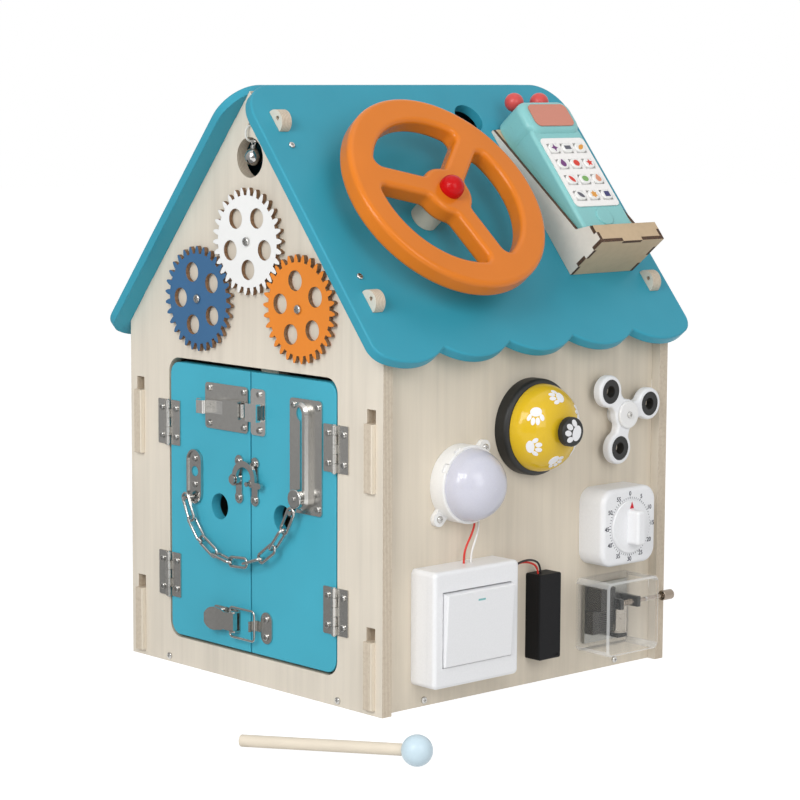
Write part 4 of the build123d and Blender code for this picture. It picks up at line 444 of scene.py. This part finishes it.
def plastic(name, colour, rough=0.28, edge=0.0005, glow=0.0, variation=0.02, gloss=0.4):
    material, tree, shader = start(name)
    skin = noise(tree, object_space(tree, (900, 900, 900)), 1, 2)
    tint = varied(tree, skin, colour, variation)
    tree.links.new(tint, shader.inputs["Base Color"])
    shader.inputs["Roughness"].default_value = rough
    shader.inputs["Specular IOR Level"].default_value = gloss
    shader.inputs["Subsurface Weight"].default_value = glow
    shader.inputs["Subsurface Radius"].default_value = (0.004, 0.004, 0.005)
    bump(tree, shader, skin, 0.02, 0.0002, edge)
    return material


def clear(name, body):
    """Clear plastic as a thin veil: body is how much of it shows."""
    material, tree, shader = start(name)
    skin = noise(tree, object_space(tree, (60, 60, 60)), 1, 2)
    tint = ramp(tree, skin, (0.3, (0.86, 0.88, 0.88)), (0.7, (0.94, 0.95, 0.95)))
    tree.links.new(tint, shader.inputs["Base Color"])
    shader.inputs["Roughness"].default_value = 0.06
    shader.inputs["Specular IOR Level"].default_value = 1
    shader.inputs["Coat Weight"].default_value = 1
    shader.inputs["Alpha"].default_value = body
    return material


nickel = metal("nickel", (0.62, 0.605, 0.575), 0.24)
bright = metal("bright_nickel", (0.56, 0.55, 0.53), 0.13)
pale_nickel = metal("pale_nickel", (0.8, 0.785, 0.755), 0.2)
screw_steel = metal("screw_steel", (0.55, 0.54, 0.52), 0.2)
dark_steel = metal("movement_steel", (0.05, 0.048, 0.045), 0.3)
drum_steel = metal("drum_steel", (0.38, 0.345, 0.295), 0.14)
bed_steel = metal("bed_steel", (0.3, 0.295, 0.27), 0.35)
crank_steel = metal("crank_steel", (0.33, 0.275, 0.225), 0.18)
white_plastic = plastic("white_plastic", (0.84, 0.845, 0.86))
warm_white = plastic("warm_white", (0.84, 0.835, 0.825), 0.32)
milk = plastic("milk_plastic", (0.62, 0.62, 0.7), 0.12, 0, 0.25)
black_plastic = plastic("black_plastic", (0.011, 0.011, 0.012), 0.5, variation=0.1, gloss=0.12)
bell_black = plastic("bell_black", (0.014, 0.014, 0.013), 0.45, variation=0.1)
yellow = plastic("yellow_enamel", (0.73, 0.48, 0.022), 0.1, 0, gloss=0.3)
phone_teal = plastic("phone_teal", (0.25, 0.57, 0.57), 0.35)
phone_white = plastic("phone_white", (0.93, 0.91, 0.89), 0.35)
key_white = plastic("key_white", (0.86, 0.86, 0.84), 0.25)
salmon = plastic("phone_salmon", (0.63, 0.24, 0.17), 0.35)
coral = plastic("phone_coral", (0.64, 0.075, 0.07), 0.35, 0)
print_white = plastic("print_white", (0.84, 0.84, 0.86), 0.5, 0)
glass = clear("clear_plastic", 0.04)
# Painted reflection: a denser, paler veil draws a bright outline on the case's rounded edges.
glass_edge_painted_reflection = clear("clear_plastic_painted_reflection", 0.38)
red_wire = plastic("red_wire", (0.62, 0.03, 0.02), 0.4, 0)
white_wire = plastic("white_wire", (0.8, 0.8, 0.78), 0.4, 0)
black_wire = plastic("black_wire", (0.018, 0.016, 0.016), 0.4, 0)
cord_white = plastic("cord_white", (0.8, 0.78, 0.73), 0.8, 0)
print("materials", len(bpy.data.materials))

# %% [markdown]
# ## Dress the CAD nodes
# Every CAD node gets its main material. Some nodes hold faces of a second material, such as the
# cut edge of a panel. A face test on the centre and the normal picks those, which leaves the CAD
# mesh itself as it is.


# %% Main materials
def dress(material, *names):
    for name in names:
        nodes[name].data.materials.clear()
        nodes[name].data.materials.append(material)


def second(name, material, test):
    """Gives the faces that pass the test a further material of their own."""
    mesh = nodes[name].data
    mesh.materials.append(material)
    index = len(mesh.materials) - 1
    count = 0
    for face in mesh.polygons:
        if test(face.center * 1000, face.normal):
            face.material_index = index
            count += 1
    print(name, "has", count, "faces of", material.name)


dress(birch, "front_panel", "back_panel", "floor_panel")
# The walls take the darker birch copy, which is painted shade.
dress(birch_wall_painted_shade, "left_wall", "right_wall")
dress(teal, "left_roof", "right_roof")
dress(teal_door, "left_door_panel", "right_door_panel")
dress(nickel, "frame_hinges", "left_hinge_leaves", "right_hinge_leaves", "bolt_plate",
      "toggle_base", "toggle_lever", "toggle_catch", "chain_slot_plate")
dress(pale_nickel, "bolt_keeper", "bolt_bar")
dress(bright, "toggle_bail", "hook_plate", "hook_post_plate", "hook_arm", "chain_anchor",
      "chain_button", "guard_chain", "jingle_bell")
dress(screw_steel, "house_screws", "left_door_screws", "right_door_screws")
dress(orange, "steering_wheel")
dress(white_gear, "white_gear")
dress(blue_gear, "blue_gear")
dress(orange_gear, "orange_gear")
dress(red_ball, "wheel_ball")
dress(beech, "wheel_post", "mallet")
dress(birch_plate, "phone_holder")
dress(phone_teal, "phone_shell")
dress(phone_white, "phone_panels")
dress(coral, "phone_ears")
dress(key_white, "phone_keys")
dress(bell_black, "bell_base", "bell_button")
dress(yellow, "bell_dome")
dress(warm_white, "lamp_base", "spinner_post")
dress(milk, "lamp_dome")
dress(white_plastic, "switch_case", "switch_rocker", "timer_body", "timer_knob", "spinner_body")
dress(black_plastic, "battery_box")
dress(glass, "music_case")
dress(dark_steel, "music_movement")
dress(drum_steel, "music_drum")
dress(crank_steel, "music_crank")
dress(red_wire, "wires")
dress(cord_white, "jingle_string")

# %% [markdown]
# ## Edges and two-coloured nodes
# The panels are birch on the face and layered on the edge. The gears and the telephone holder
# were cut by laser, so their edges are brown. The same face test also colours the salmon panel of
# the telephone, the spinner's rings and the mallet head, and gives the holder's front side a paler
# birch, which is painted light.


# %% Second materials
PHONE_Y, ROOF_TOP = 99, 8.1
SALMON_END, BED_FRONT = 74, 145
# The telephone holder's plates and teeth, in millimetres along, across and above the slope
SIDE_INNER, SIDE_OUTER = 32.1, 34.8
FOOT_START, FOOT_FRONT, FLOOR_END, LIP_END = 182.85, 185.9, 170.5, 176.6
LOW_TOOTH, HIGH_TOOTH = (10.6, 20.9), (31.6, 42)
LIP_START, LIP_TOP, TAB_SIDE = 38.9, 41.9, 10.8


def slope_place(point):
    """Along, across and height of a point on the right slope, in millimetres."""
    local = point - Vector((0, 0, APEX))
    return local.dot(DOWN), point.y - PHONE_Y, local.dot(NORMAL) - ROOF_TOP


def inside(place, *ranges):
    """Whether each coordinate lies in its range."""
    return all(low < c < high for c, (low, high) in zip(place, ranges))


def holder_is_cut(point, normal):
    along, across, height = slope_place(point)
    side = abs(across)
    at_low_tooth = LOW_TOOTH[0] < height < LOW_TOOTH[1]
    at_lip = height > LIP_START and along < LIP_END
    if abs(normal.y) > 0.7:
        foot_tooth = along > FOOT_START and (at_low_tooth or height > HIGH_TOOTH[0])
        return side > SIDE_OUTER and (foot_tooth or at_lip)
    facing_down = abs(normal.dot(DOWN)) > 0.7
    facing_out = abs(normal.dot(NORMAL)) > 0.7
    if side > SIDE_INNER:
        at_tooth = at_low_tooth or HIGH_TOOTH[0] < height < HIGH_TOOTH[1]
        foot_face = facing_down and along > FOOT_START and at_tooth
        return not foot_face and not (facing_out and at_lip)
    if facing_down:
        foot_tab = along > FOOT_FRONT and height > LIP_START and side < TAB_SIDE
        return along < FLOOR_END or foot_tab
    return facing_out and along > FOOT_START and height > LIP_TOP and side > TAB_SIDE


def in_key_well(point, normal):
    return inside(slope_place(point), (76, 145), (-23, 23), (15, 28.8))


def is_cell(point, normal):
    return inside(point, (141.4, 151.1), (4.2, 25), (22, 70))


second("front_panel", edge_y, lambda p, n: abs(n.y) < 0.5)
second("back_panel", edge_y, lambda p, n: abs(n.y) < 0.5)
second("right_wall", edge_x, lambda p, n: abs(n.x) < 0.5)
second("left_wall", edge_x, lambda p, n: abs(n.x) < 0.5)
for gear in ("white_gear", "blue_gear", "orange_gear"):
    second(gear, scorched, lambda p, n: abs(n.y) < 0.5)
# The holder's front side gets the paler birch, which is painted light.
second("phone_holder", birch_painted_light_side, lambda p, n: n.y < -0.7)
second("phone_holder", burnt, holder_is_cut)
second("phone_panels", salmon, lambda p, n: slope_place(p)[0] < SALMON_END)
second("phone_shell", phone_white, in_key_well)
SPINNER_Y, SPINNER_Z, SPINNER_ARM, SPINNER_TURN = 98, 199.5, 26.5, 14
RING_RADIUS, RING_BACK, RING_FRONT = 9.32, 146.3, 153.65
MALLET_HEAD, HEAD_RADIUS, HEAD_FLAT = Vector((260.5, -220.5, 10.8)), (10.2, 11.2), 0.6


def in_mallet_head(point, normal):
    reach = (point - MALLET_HEAD).length
    return HEAD_RADIUS[0] < reach < HEAD_RADIUS[1] or point.z < HEAD_FLAT


def in_spinner_ring(point, normal):
    for i in range(3):
        turn = math.radians(SPINNER_TURN + 120 * i)
        across = point.y - SPINNER_Y - SPINNER_ARM * math.cos(turn)
        up = point.z - SPINNER_Z - SPINNER_ARM * math.sin(turn)
        if math.hypot(across, up) < RING_RADIUS and RING_BACK < point.x < RING_FRONT:
            return True
    return False


second("mallet", pale_blue, in_mallet_head)
second("spinner_body", bell_black, in_spinner_ring)
second("music_movement", bed_steel, lambda p, n: p.x < BED_FRONT)
# The case's rounded edges get the denser veil, which is a painted reflection.
second("music_case", glass_edge_painted_reflection, lambda p, n: max(abs(c) for c in n) < 0.99)
second("battery_box", nickel, is_cell)

# %% [markdown]
# ## New pieces
# A new piece starts as a bmesh, which is Blender's editable mesh, and becomes an object that
# rides on a CAD body. One function does the linking and the smooth shading, so each later step
# only makes its shape.


# %% Helper for new pieces
OVAL_POINTS = 20


def add_piece(name, bm, material, body, smooth=40):
    """Makes a piece from a bmesh. Edges sharper than the smooth angle stay sharp."""
    bmesh.ops.recalc_face_normals(bm, faces=bm.faces)
    mesh = bpy.data.meshes.new(name)
    bm.to_mesh(mesh)
    bm.free()
    mesh.shade_smooth()
    mesh.set_sharp_from_angle(angle=math.radians(smooth))
    mesh.materials.append(material)
    made = bpy.data.objects.new(name, mesh)
    scene.collection.objects.link(made)
    if body:
        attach(made, body)
    return made


def prism(bm, outline, origin, across, up, thick):
    """A thin flat shape: outline points in millimetres, on the plane of two directions."""
    out = across.cross(up).normalized()
    ring = [bm.verts.new(origin + (across * x + up * y) / 1000) for x, y in outline]
    face = bm.faces.new(ring)
    raised = bmesh.ops.extrude_face_region(bm, geom=[face])["geom"]
    moved = [v for v in raised if isinstance(v, bmesh.types.BMVert)]
    bmesh.ops.translate(bm, verts=moved, vec=out * thick / 1000)


def turned(x, y, angle):
    """A point of an outline, turned about its middle."""
    return x * math.cos(angle) - y * math.sin(angle), x * math.sin(angle) + y * math.cos(angle)


def ellipse(x, y, a, b, turn=0):
    points = []
    for i in range(OVAL_POINTS):
        t = 2 * math.pi * i / OVAL_POINTS
        ex, ey = turned(a * math.cos(t), b * math.sin(t), turn)
        points.append((x + ex, y + ey))
    return points


print("piece helpers ready")

# %% [markdown]
# ## Wires and string
# A cord is a curve with a round bevel. Its control points are those of the route in the CAD
# source, and a NURBS curve of order three runs through the middle of each stretch, as the arcs
# there do. The four wires run between the lamp, the switch and the battery box, and a white
# string carries the jingle bell.


# %% Wires and string
def cord(name, points, diameter, material, node_name):
    """A round cord along points in millimetres, which stands for a CAD node."""
    curve = bpy.data.curves.new(name, "CURVE")
    curve.dimensions = "3D"
    curve.bevel_depth = diameter / 2000
    curve.bevel_resolution = 4
    curve.resolution_u = 12
    curve.use_fill_caps = True
    spline = curve.splines.new("NURBS")
    spline.points.add(len(points) - 1)
    for point, place in zip(spline.points, points):
        point.co = (*(Vector(place) / 1000), 1)
    spline.order_u = 3
    spline.use_endpoint_u = True
    curve.materials.append(material)
    made = bpy.data.objects.new(name, curve)
    scene.collection.objects.link(made)
    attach(made, "house")
    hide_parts(node_name)


CORD_DIAMETER = 1.6
# Each point of a wire is its distance from the wall, its place along the wall and its height
wire_routes = {
    "lamp_wire_red": (red_wire, [
        (6.5, -59.5, 139.0), (7.5, -58.0, 133.0), (8.6, -62.0, 125.0), (9.2, -68.5, 116.5),
        (9.0, -70.9, 109.5), (9.0, -70.9, 100.5)]),
    "lamp_wire_white": (white_wire, [
        (6.5, -55.5, 139.5), (7.5, -54.2, 133.5), (8.8, -56.6, 125.5), (9.4, -60.8, 117.0),
        (9.0, -63.9, 109.0), (9.0, -63.9, 100.5)]),
    "battery_wire_red": (red_wire, [
        (7.6, -32.5, 93.5), (7.6, -23.0, 93.9), (7.6, -12.0, 96.5), (7.4, -1.0, 95.7),
        (8.0, 8.0, 90.9), (8.0, 8.0, 83.75)]),
    "battery_wire_black": (black_wire, [
        (10.4, -32.5, 93.5), (10.4, -23.0, 94.1), (10.0, -11.5, 98.1), (9.6, 0.5, 97.7),
        (8.0, 10.6, 92.5), (8.0, 10.6, 83.75)]),
}
for name, (material, route) in wire_routes.items():
    points = [(WALL + out, y, z) for out, y, z in route]
    cord(name, points, CORD_DIAMETER, material, "wires")

# The string is a loop: out of the string hole, down the front and back through the bell hole
STRING_BACK, STRING_FRONT = -137.0, -154.0
STRING_HIGH, STRING_LOW = APEX - 24.8, APEX - 37.2
KNOT, KNOT_RADIUS = APEX - 31, 2.2
cord("jingle_cord", [
    (0, STRING_BACK, KNOT + 1), (0, STRING_BACK, STRING_HIGH), (0, STRING_FRONT, STRING_HIGH),
    (0, STRING_FRONT, STRING_LOW), (0, STRING_BACK, STRING_LOW), (0, STRING_BACK, KNOT - 1),
], CORD_DIAMETER, cord_white, "jingle_string")

bm = bmesh.new()
bmesh.ops.create_uvsphere(bm, u_segments=20, v_segments=12, radius=KNOT_RADIUS / 1000)
bmesh.ops.translate(bm, verts=bm.verts, vec=Vector((0, STRING_BACK, KNOT)) / 1000)
add_piece("jingle_knot", bm, cord_white, "house")
print("five cords")

# %% [markdown]
# ## Guard chain
# The chain is one stiff node in CAD, but its ends belong to the two doors. Here each link is
# rebuilt as a smooth wire loop at the place measured from the CAD links, in three groups, of which
# the last rides on the chain button. A link starts as a circle spun into a ring, whose two
# halves are then drawn apart.


# %% Guard chain
LINK_LENGTH, LINK_WIDTH, LINK_WIRE = 22.11, 7.2, 1.2
LINK_STEPS = 24


def link_frames():
    """Centre, long axis and flat normal of every CAD link, from its own points."""
    bm = bmesh.new()
    bm.from_mesh(nodes["guard_chain"].data)
    bmesh.ops.remove_doubles(bm, verts=bm.verts, dist=1e-6)
    left = set(bm.verts)
    found = []
    while left:
        stack = [left.pop()]
        island = []
        while stack:
            vert = stack.pop()
            island.append(vert.co.copy())
            for edge in vert.link_edges:
                other = edge.other_vert(vert)
                if other in left:
                    left.remove(other)
                    stack.append(other)
        low = Vector(map(min, *island))
        high = Vector(map(max, *island))
        centre = (low + high) / 2
        far = max(island, key=lambda p: (p - centre).length)
        near = max(island, key=lambda p: (p - far).length)
        along = (far - near).normalized()
        offsets = [p - centre - along * (p - centre).dot(along) for p in island]
        side = max(offsets, key=lambda offset: offset.length).normalized()
        found.append((centre, along, along.cross(side)))
    bm.free()
    return sorted(found, key=lambda f: f[0].x)


def copy_into(bm, shape):
    """Adds one bmesh to another and frees it."""
    mesh = bpy.data.meshes.new("shape")
    shape.to_mesh(mesh)
    shape.free()
    bm.from_mesh(mesh)
    bpy.data.meshes.remove(mesh)


def add_link(bm, centre, along, flat):
    """A wire ring whose two halves are drawn apart, laid along the link."""
    ring = bmesh.new()
    upright = (Matrix.Translation((LINK_WIDTH / 2000, 0, 0))
               @ Matrix.Rotation(math.pi / 2, 4, "X"))
    bmesh.ops.create_circle(ring, segments=12, radius=LINK_WIRE / 1000, matrix=upright)
    bmesh.ops.spin(ring, geom=ring.verts[:] + ring.edges[:], cent=(0, 0, 0), axis=(0, 0, 1),
                   angle=2 * math.pi, steps=LINK_STEPS, use_merge=True)
    half_step = Matrix.Rotation(math.pi / LINK_STEPS, 3, "Z")
    bmesh.ops.rotate(ring, verts=ring.verts, cent=(0, 0, 0), matrix=half_step)
    apart = (LINK_LENGTH - LINK_WIDTH) / 2000
    right_half = [v for v in ring.verts if v.co.x > 0]
    left_half = [v for v in ring.verts if v.co.x < 0]
    bmesh.ops.translate(ring, verts=right_half, vec=(apart, 0, 0))
    bmesh.ops.translate(ring, verts=left_half, vec=(-apart, 0, 0))
    turn = Matrix((along, flat.cross(along), flat)).transposed().to_4x4()
    bmesh.ops.transform(ring, verts=ring.verts, matrix=Matrix.Translation(centre) @ turn)
    copy_into(bm, ring)


frames = link_frames()
spans = {"chain_left": frames[:5], "chain_right": frames[5:8], "chain_end": frames[8:]}
for name, group in spans.items():
    bm = bmesh.new()
    for link in group:
        add_link(bm, *link)
    made = add_piece(name, bm, bright, None)
    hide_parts("guard_chain")
    if name == "chain_left":
        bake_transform(made)
    elif name == "chain_right":
        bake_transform(made)
    else:
        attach(made, "chain_button")
print("links", len(frames))

# %% [markdown]
# ## Paw prints on the desk bell
# The yellow dome carries plain paw prints, each a pad and four toes. Flat ovals would sink into
# the dome, so every point is pushed out along its direction until it lies on the domed surface.
# The button has one larger print on its flat face.

# %% Paw prints
BELL = (5, 197.5)
BELL_BUTTON_FACE = 46.3
DOME = on_wall(*BELL, 12.1)
DOME_SIZE = Vector((24.9, 33.0, 33.0)) / 1000
# Each pad of a paw: place across and up, half width, half height and tilt
PAW = [(0, -1.4, 2.7, 2.0, 0), (-2.9, 0.9, 0.95, 1.5, 0.5), (-1.1, 2.5, 1.0, 1.6, 0.12),
       (1.1, 2.5, 1.0, 1.6, -0.12), (2.9, 0.9, 0.95, 1.5, -0.5)]
PAW_LIFT, PAW_INK = 0.25, 0.12
DOME_REACH = 30
BUTTON_ACROSS, BUTTON_UP = Vector((0, 0.34, 0.94)), Vector((0, -0.94, 0.34))
DOME_PAW, BUTTON_PAW = 1.7, 2.2
# Each print on the dome: lean from the top, turn around it and spin of the print
DOME_PAWS = [(50, 150, 20), (52, 205, 70), (46, 265, -30), (52, 320, 15), (50, 25, 80),
             (48, 90, -15)]


def on_dome(direction, lift):
    """The point of the dome in a direction from its middle, lifted off it by some millimetres."""
    d = direction.normalized()
    point = Vector((d.x * DOME_SIZE.x, d.y * DOME_SIZE.y, d.z * DOME_SIZE.z))
    return DOME + point * (1 + lift / 1000 / point.length)


def dome_paw(bm, lean, turn, spin, size):
    """A paw print on the dome. An inset ring keeps the middle of each pad above the dome."""
    lean, turn, spin = (math.radians(a) for a in (lean, turn, spin))
    outward = Vector((0, math.cos(turn), math.sin(turn)))
    centre = Vector((math.cos(lean), 0, 0)) + outward * math.sin(lean)
    away = Vector((-math.sin(lean), 0, 0)) + outward * math.cos(lean)
    side = centre.cross(away)
    u = away * math.cos(spin) + side * math.sin(spin)
    v = centre.cross(u)
    paw = bmesh.new()
    for x, y, a, b, tilt in PAW:
        place = Matrix.Translation((x, y, 0)) @ Matrix.Rotation(tilt, 4, "Z")
        oval = Matrix.Diagonal((a, b, 1, 1))
        bmesh.ops.create_circle(paw, cap_ends=True, segments=OVAL_POINTS, radius=1,
                                matrix=place @ oval)
    bmesh.ops.inset_individual(paw, faces=paw.faces[:], thickness=0.5)
    raised = bmesh.ops.extrude_face_region(paw, geom=paw.faces[:])["geom"]
    moved = [g for g in raised if isinstance(g, bmesh.types.BMVert)]
    bmesh.ops.translate(paw, verts=moved, vec=(0, 0, 1))
    for vert in paw.verts:
        x, y, z = vert.co
        vert.co = on_dome(centre + (u * x + v * y) * size / DOME_REACH, PAW_LIFT * (2 * z - 1))
    copy_into(bm, paw)


bm = bmesh.new()
for lean, turn, spin in DOME_PAWS:
    dome_paw(bm, lean, turn, spin, DOME_PAW)
add_piece("dome_paws", bm, print_white, "house")
bm = bmesh.new()
for x, y, a, b, tilt in PAW:
    outline = [(px * BUTTON_PAW, py * BUTTON_PAW) for px, py in ellipse(x, y, a, b, tilt)]
    prism(bm, outline, on_wall(*BELL, BELL_BUTTON_FACE), BUTTON_ACROSS, BUTTON_UP, PAW_INK)
add_piece("button_paw", bm, print_white, "bell_button")
print("paw prints")

# %% [markdown]
# ## Timer scale
# The timer shows minutes around its dial. Numerals are made as text, turned into a mesh and laid
# on the face, while the tick marks are small flat bars and the pointer is a red triangle on the
# turning dial. They are real thin shapes, so no image is needed.

# %% Timer scale
TIMER = (90.5, 114.7)
TIMER_FACE, KNOB_FACE = 25.02, 27.1
TICK_RADIUS, NUMERAL_RADIUS = 21.4, 25.4
INK, POINTER_INK, NUMERAL_LIFT = 0.05, 0.06, 0.03
X_AXIS, Y_AXIS, Z_AXIS = Vector((1, 0, 0)), Vector((0, 1, 0)), Vector((0, 0, 1))


def dial_direction(minute):
    """The direction of a minute on the dial, with zero at the top."""
    angle = math.radians(90 - 6 * minute)
    return Vector((0, math.cos(angle), math.sin(angle)))


ink = plastic("scale_ink", (0.012, 0.012, 0.03), 0.9, 0)
pointer_red = plastic("pointer_red", (0.6, 0.008, 0.02), 0.5, 0)
bm = bmesh.new()
for minute in range(60):
    out = dial_direction(minute)
    side = X_AXIS.cross(out)
    reach, half = (1.7, 0.3) if minute % 5 == 0 else (1.4, 0.2)
    outline = [(0, -half), (reach, -half), (reach, half), (0, half)]
    prism(bm, outline, on_wall(*TIMER, TIMER_FACE) + out * TICK_RADIUS / 1000, out, side, INK)
for minute in range(0, 60, 5):
    text = bpy.data.curves.new("numeral", "FONT")
    text.body = str(minute)
    text.size = 0.0047
    text.offset = 0.00008
    text.align_x = "CENTER"
    text.align_y = "CENTER"
    text.extrude = 0.00003
    temporary = bpy.data.objects.new("numeral", text)
    scene.collection.objects.link(temporary)
    bpy.context.view_layer.update()
    flat = temporary.evaluated_get(bpy.context.evaluated_depsgraph_get())
    shape = bpy.data.meshes.new_from_object(flat)
    middle = on_wall(*TIMER, TIMER_FACE + NUMERAL_LIFT)
    centre = middle + dial_direction(minute) * NUMERAL_RADIUS / 1000
    upright = Matrix((Y_AXIS, Z_AXIS, X_AXIS)).transposed().to_4x4()
    shape.transform(Matrix.Translation(centre) @ upright)
    bm.from_mesh(shape)
    bpy.data.objects.remove(temporary)
add_piece("timer_scale", bm, ink, "house")
bm = bmesh.new()
triangle = [(-2.3, 14.1), (2.3, 14.1), (0, 19.6)]
prism(bm, triangle, on_wall(*TIMER, KNOB_FACE), Y_AXIS, Z_AXIS, POINTER_INK)
add_piece("timer_pointer", bm, pointer_red, "timer_knob")
print("timer scale")

# %% [markdown]
# ## Telephone keys
# Each key carries a small coloured sign. Simple common shapes are used: a drop, a star, a disc, a
# leaf and so on. They are thin flat shapes that lie on the keys and ride with them.


# %% Key signs
ROUND = [(math.cos(2 * math.pi * i / 24), math.sin(2 * math.pi * i / 24)) for i in range(24)]


def star(points, outer, inner):
    outline = []
    for i in range(2 * points):
        reach = outer if i % 2 == 0 else inner
        turn = math.pi * i / points
        outline.append((reach * math.sin(turn), reach * math.cos(turn)))
    return outline


def drop():
    return [(2.0 * x * (1 - 0.45 * max(0, y)), 2.2 * y + 0.5 * max(0, y) ** 3) for x, y in ROUND]


def leaf(turn):
    return [turned(2.6 * x, 1.3 * y * abs(y) ** 0.5, turn) for x, y in ROUND]


def bar(half_width, half_height):
    return [(-half_width, -half_height), (half_width, -half_height), (half_width, half_height),
            (-half_width, half_height)]


sign_colours = {
    "plum": (0.16, 0.03, 0.18), "slate": (0.1, 0.1, 0.13), "amber": (0.75, 0.33, 0.05),
    "tomato": (0.7, 0.04, 0.02), "leaf": (0.2, 0.42, 0.12), "navy": (0.03, 0.03, 0.14),
    "peach": (0.72, 0.3, 0.18),
}
signs = [
    ("plum", star(4, 2.5, 1.1)), ("slate", bar(2.3, 1.2)), ("amber", leaf(0.6)),
    ("plum", drop()), ("tomato", ellipse(0, 0, 2.2, 2.0)), ("tomato", star(5, 2.4, 1.2)),
    ("tomato", leaf(-0.9)), ("leaf", ellipse(0, 0, 2.3, 1.8)), ("peach", drop()),
    ("slate", leaf(-0.7)), ("amber", star(6, 2.4, 1.5)), ("navy", bar(1.9, 1.7)),
]
KEY_TOP, KEYS_MIDDLE, KEY_ROW, KEY_COLUMN = 39.32, 110.8, 15.2, 14.6
SIGN_SIZE, SIGN_INK = 1.45, 0.08
for colour, tint in sign_colours.items():
    material = plastic("sign_" + colour, tint, 0.4, 0)
    bm = bmesh.new()
    for i, (name, outline) in enumerate(signs):
        if name == colour:
            along = KEYS_MIDDLE + (i // 3 - 1.5) * KEY_ROW
            across = PHONE_Y + (i % 3 - 1) * KEY_COLUMN
            larger = [(SIGN_SIZE * x, SIGN_SIZE * y) for x, y in outline]
            prism(bm, larger, on_roof(along, across, KEY_TOP), Y_AXIS, -DOWN, SIGN_INK)
    add_piece("key_signs_" + colour, bm, material, "phone_keys")
print("key signs")

# %% [markdown]
# ## Small details on the gadgets
# Two small pieces finish the gadgets: the pale mark on the switch rocker and the worm thread in
# the music box. The mark is a thin flat bar that leans as the rocker does. The thread is a small
# triangle that is spun round the shaft while it moves along it, as a screw is cut. Both are
# placed from the same drawing positions as the CAD.

# %% Gadget details
aqua = plastic("aqua_mark", (0.2, 0.5, 0.5), 0.3, 0)
bm = bmesh.new()
ROCKER_PIVOT = on_wall(-72, 60.5, 21.5)
ROCKER_TILT, ROCKER_FACE, MARK_HEIGHT = math.radians(3.7), 7.01, 20
rocker_up = Vector((math.sin(ROCKER_TILT), 0, math.cos(ROCKER_TILT)))
rocker_out = Vector((math.cos(ROCKER_TILT), 0, -math.sin(ROCKER_TILT)))
mark = ROCKER_PIVOT + (rocker_out * ROCKER_FACE + rocker_up * MARK_HEIGHT) / 1000
prism(bm, bar(3.6, 0.7), mark, Y_AXIS, rocker_up, INK)
add_piece("switch_mark", bm, aqua, "switch_rocker")

bm = bmesh.new()
SHAFT = on_wall(94, 54, 20)
WORM_TURNS, WORM_LENGTH, WORM_RADIUS, THREAD = 4.5, 0.011, 0.0019, 0.0007
steps = int(20 * WORM_TURNS)
first = Matrix.Translation((WORM_RADIUS, -WORM_LENGTH / 2, 0))
bmesh.ops.create_circle(bm, cap_ends=True, segments=3, radius=THREAD, matrix=first)
bmesh.ops.spin(bm, geom=bm.verts[:] + bm.edges[:] + bm.faces[:], cent=(0, 0, 0), axis=(0, 1, 0),
               dvec=(0, WORM_LENGTH / steps, 0), angle=2 * math.pi * WORM_TURNS, steps=steps)
bmesh.ops.translate(bm, verts=bm.verts, vec=SHAFT)
add_piece("music_worm", bm, drum_steel, "music_crank", 25)
print("gadget details")
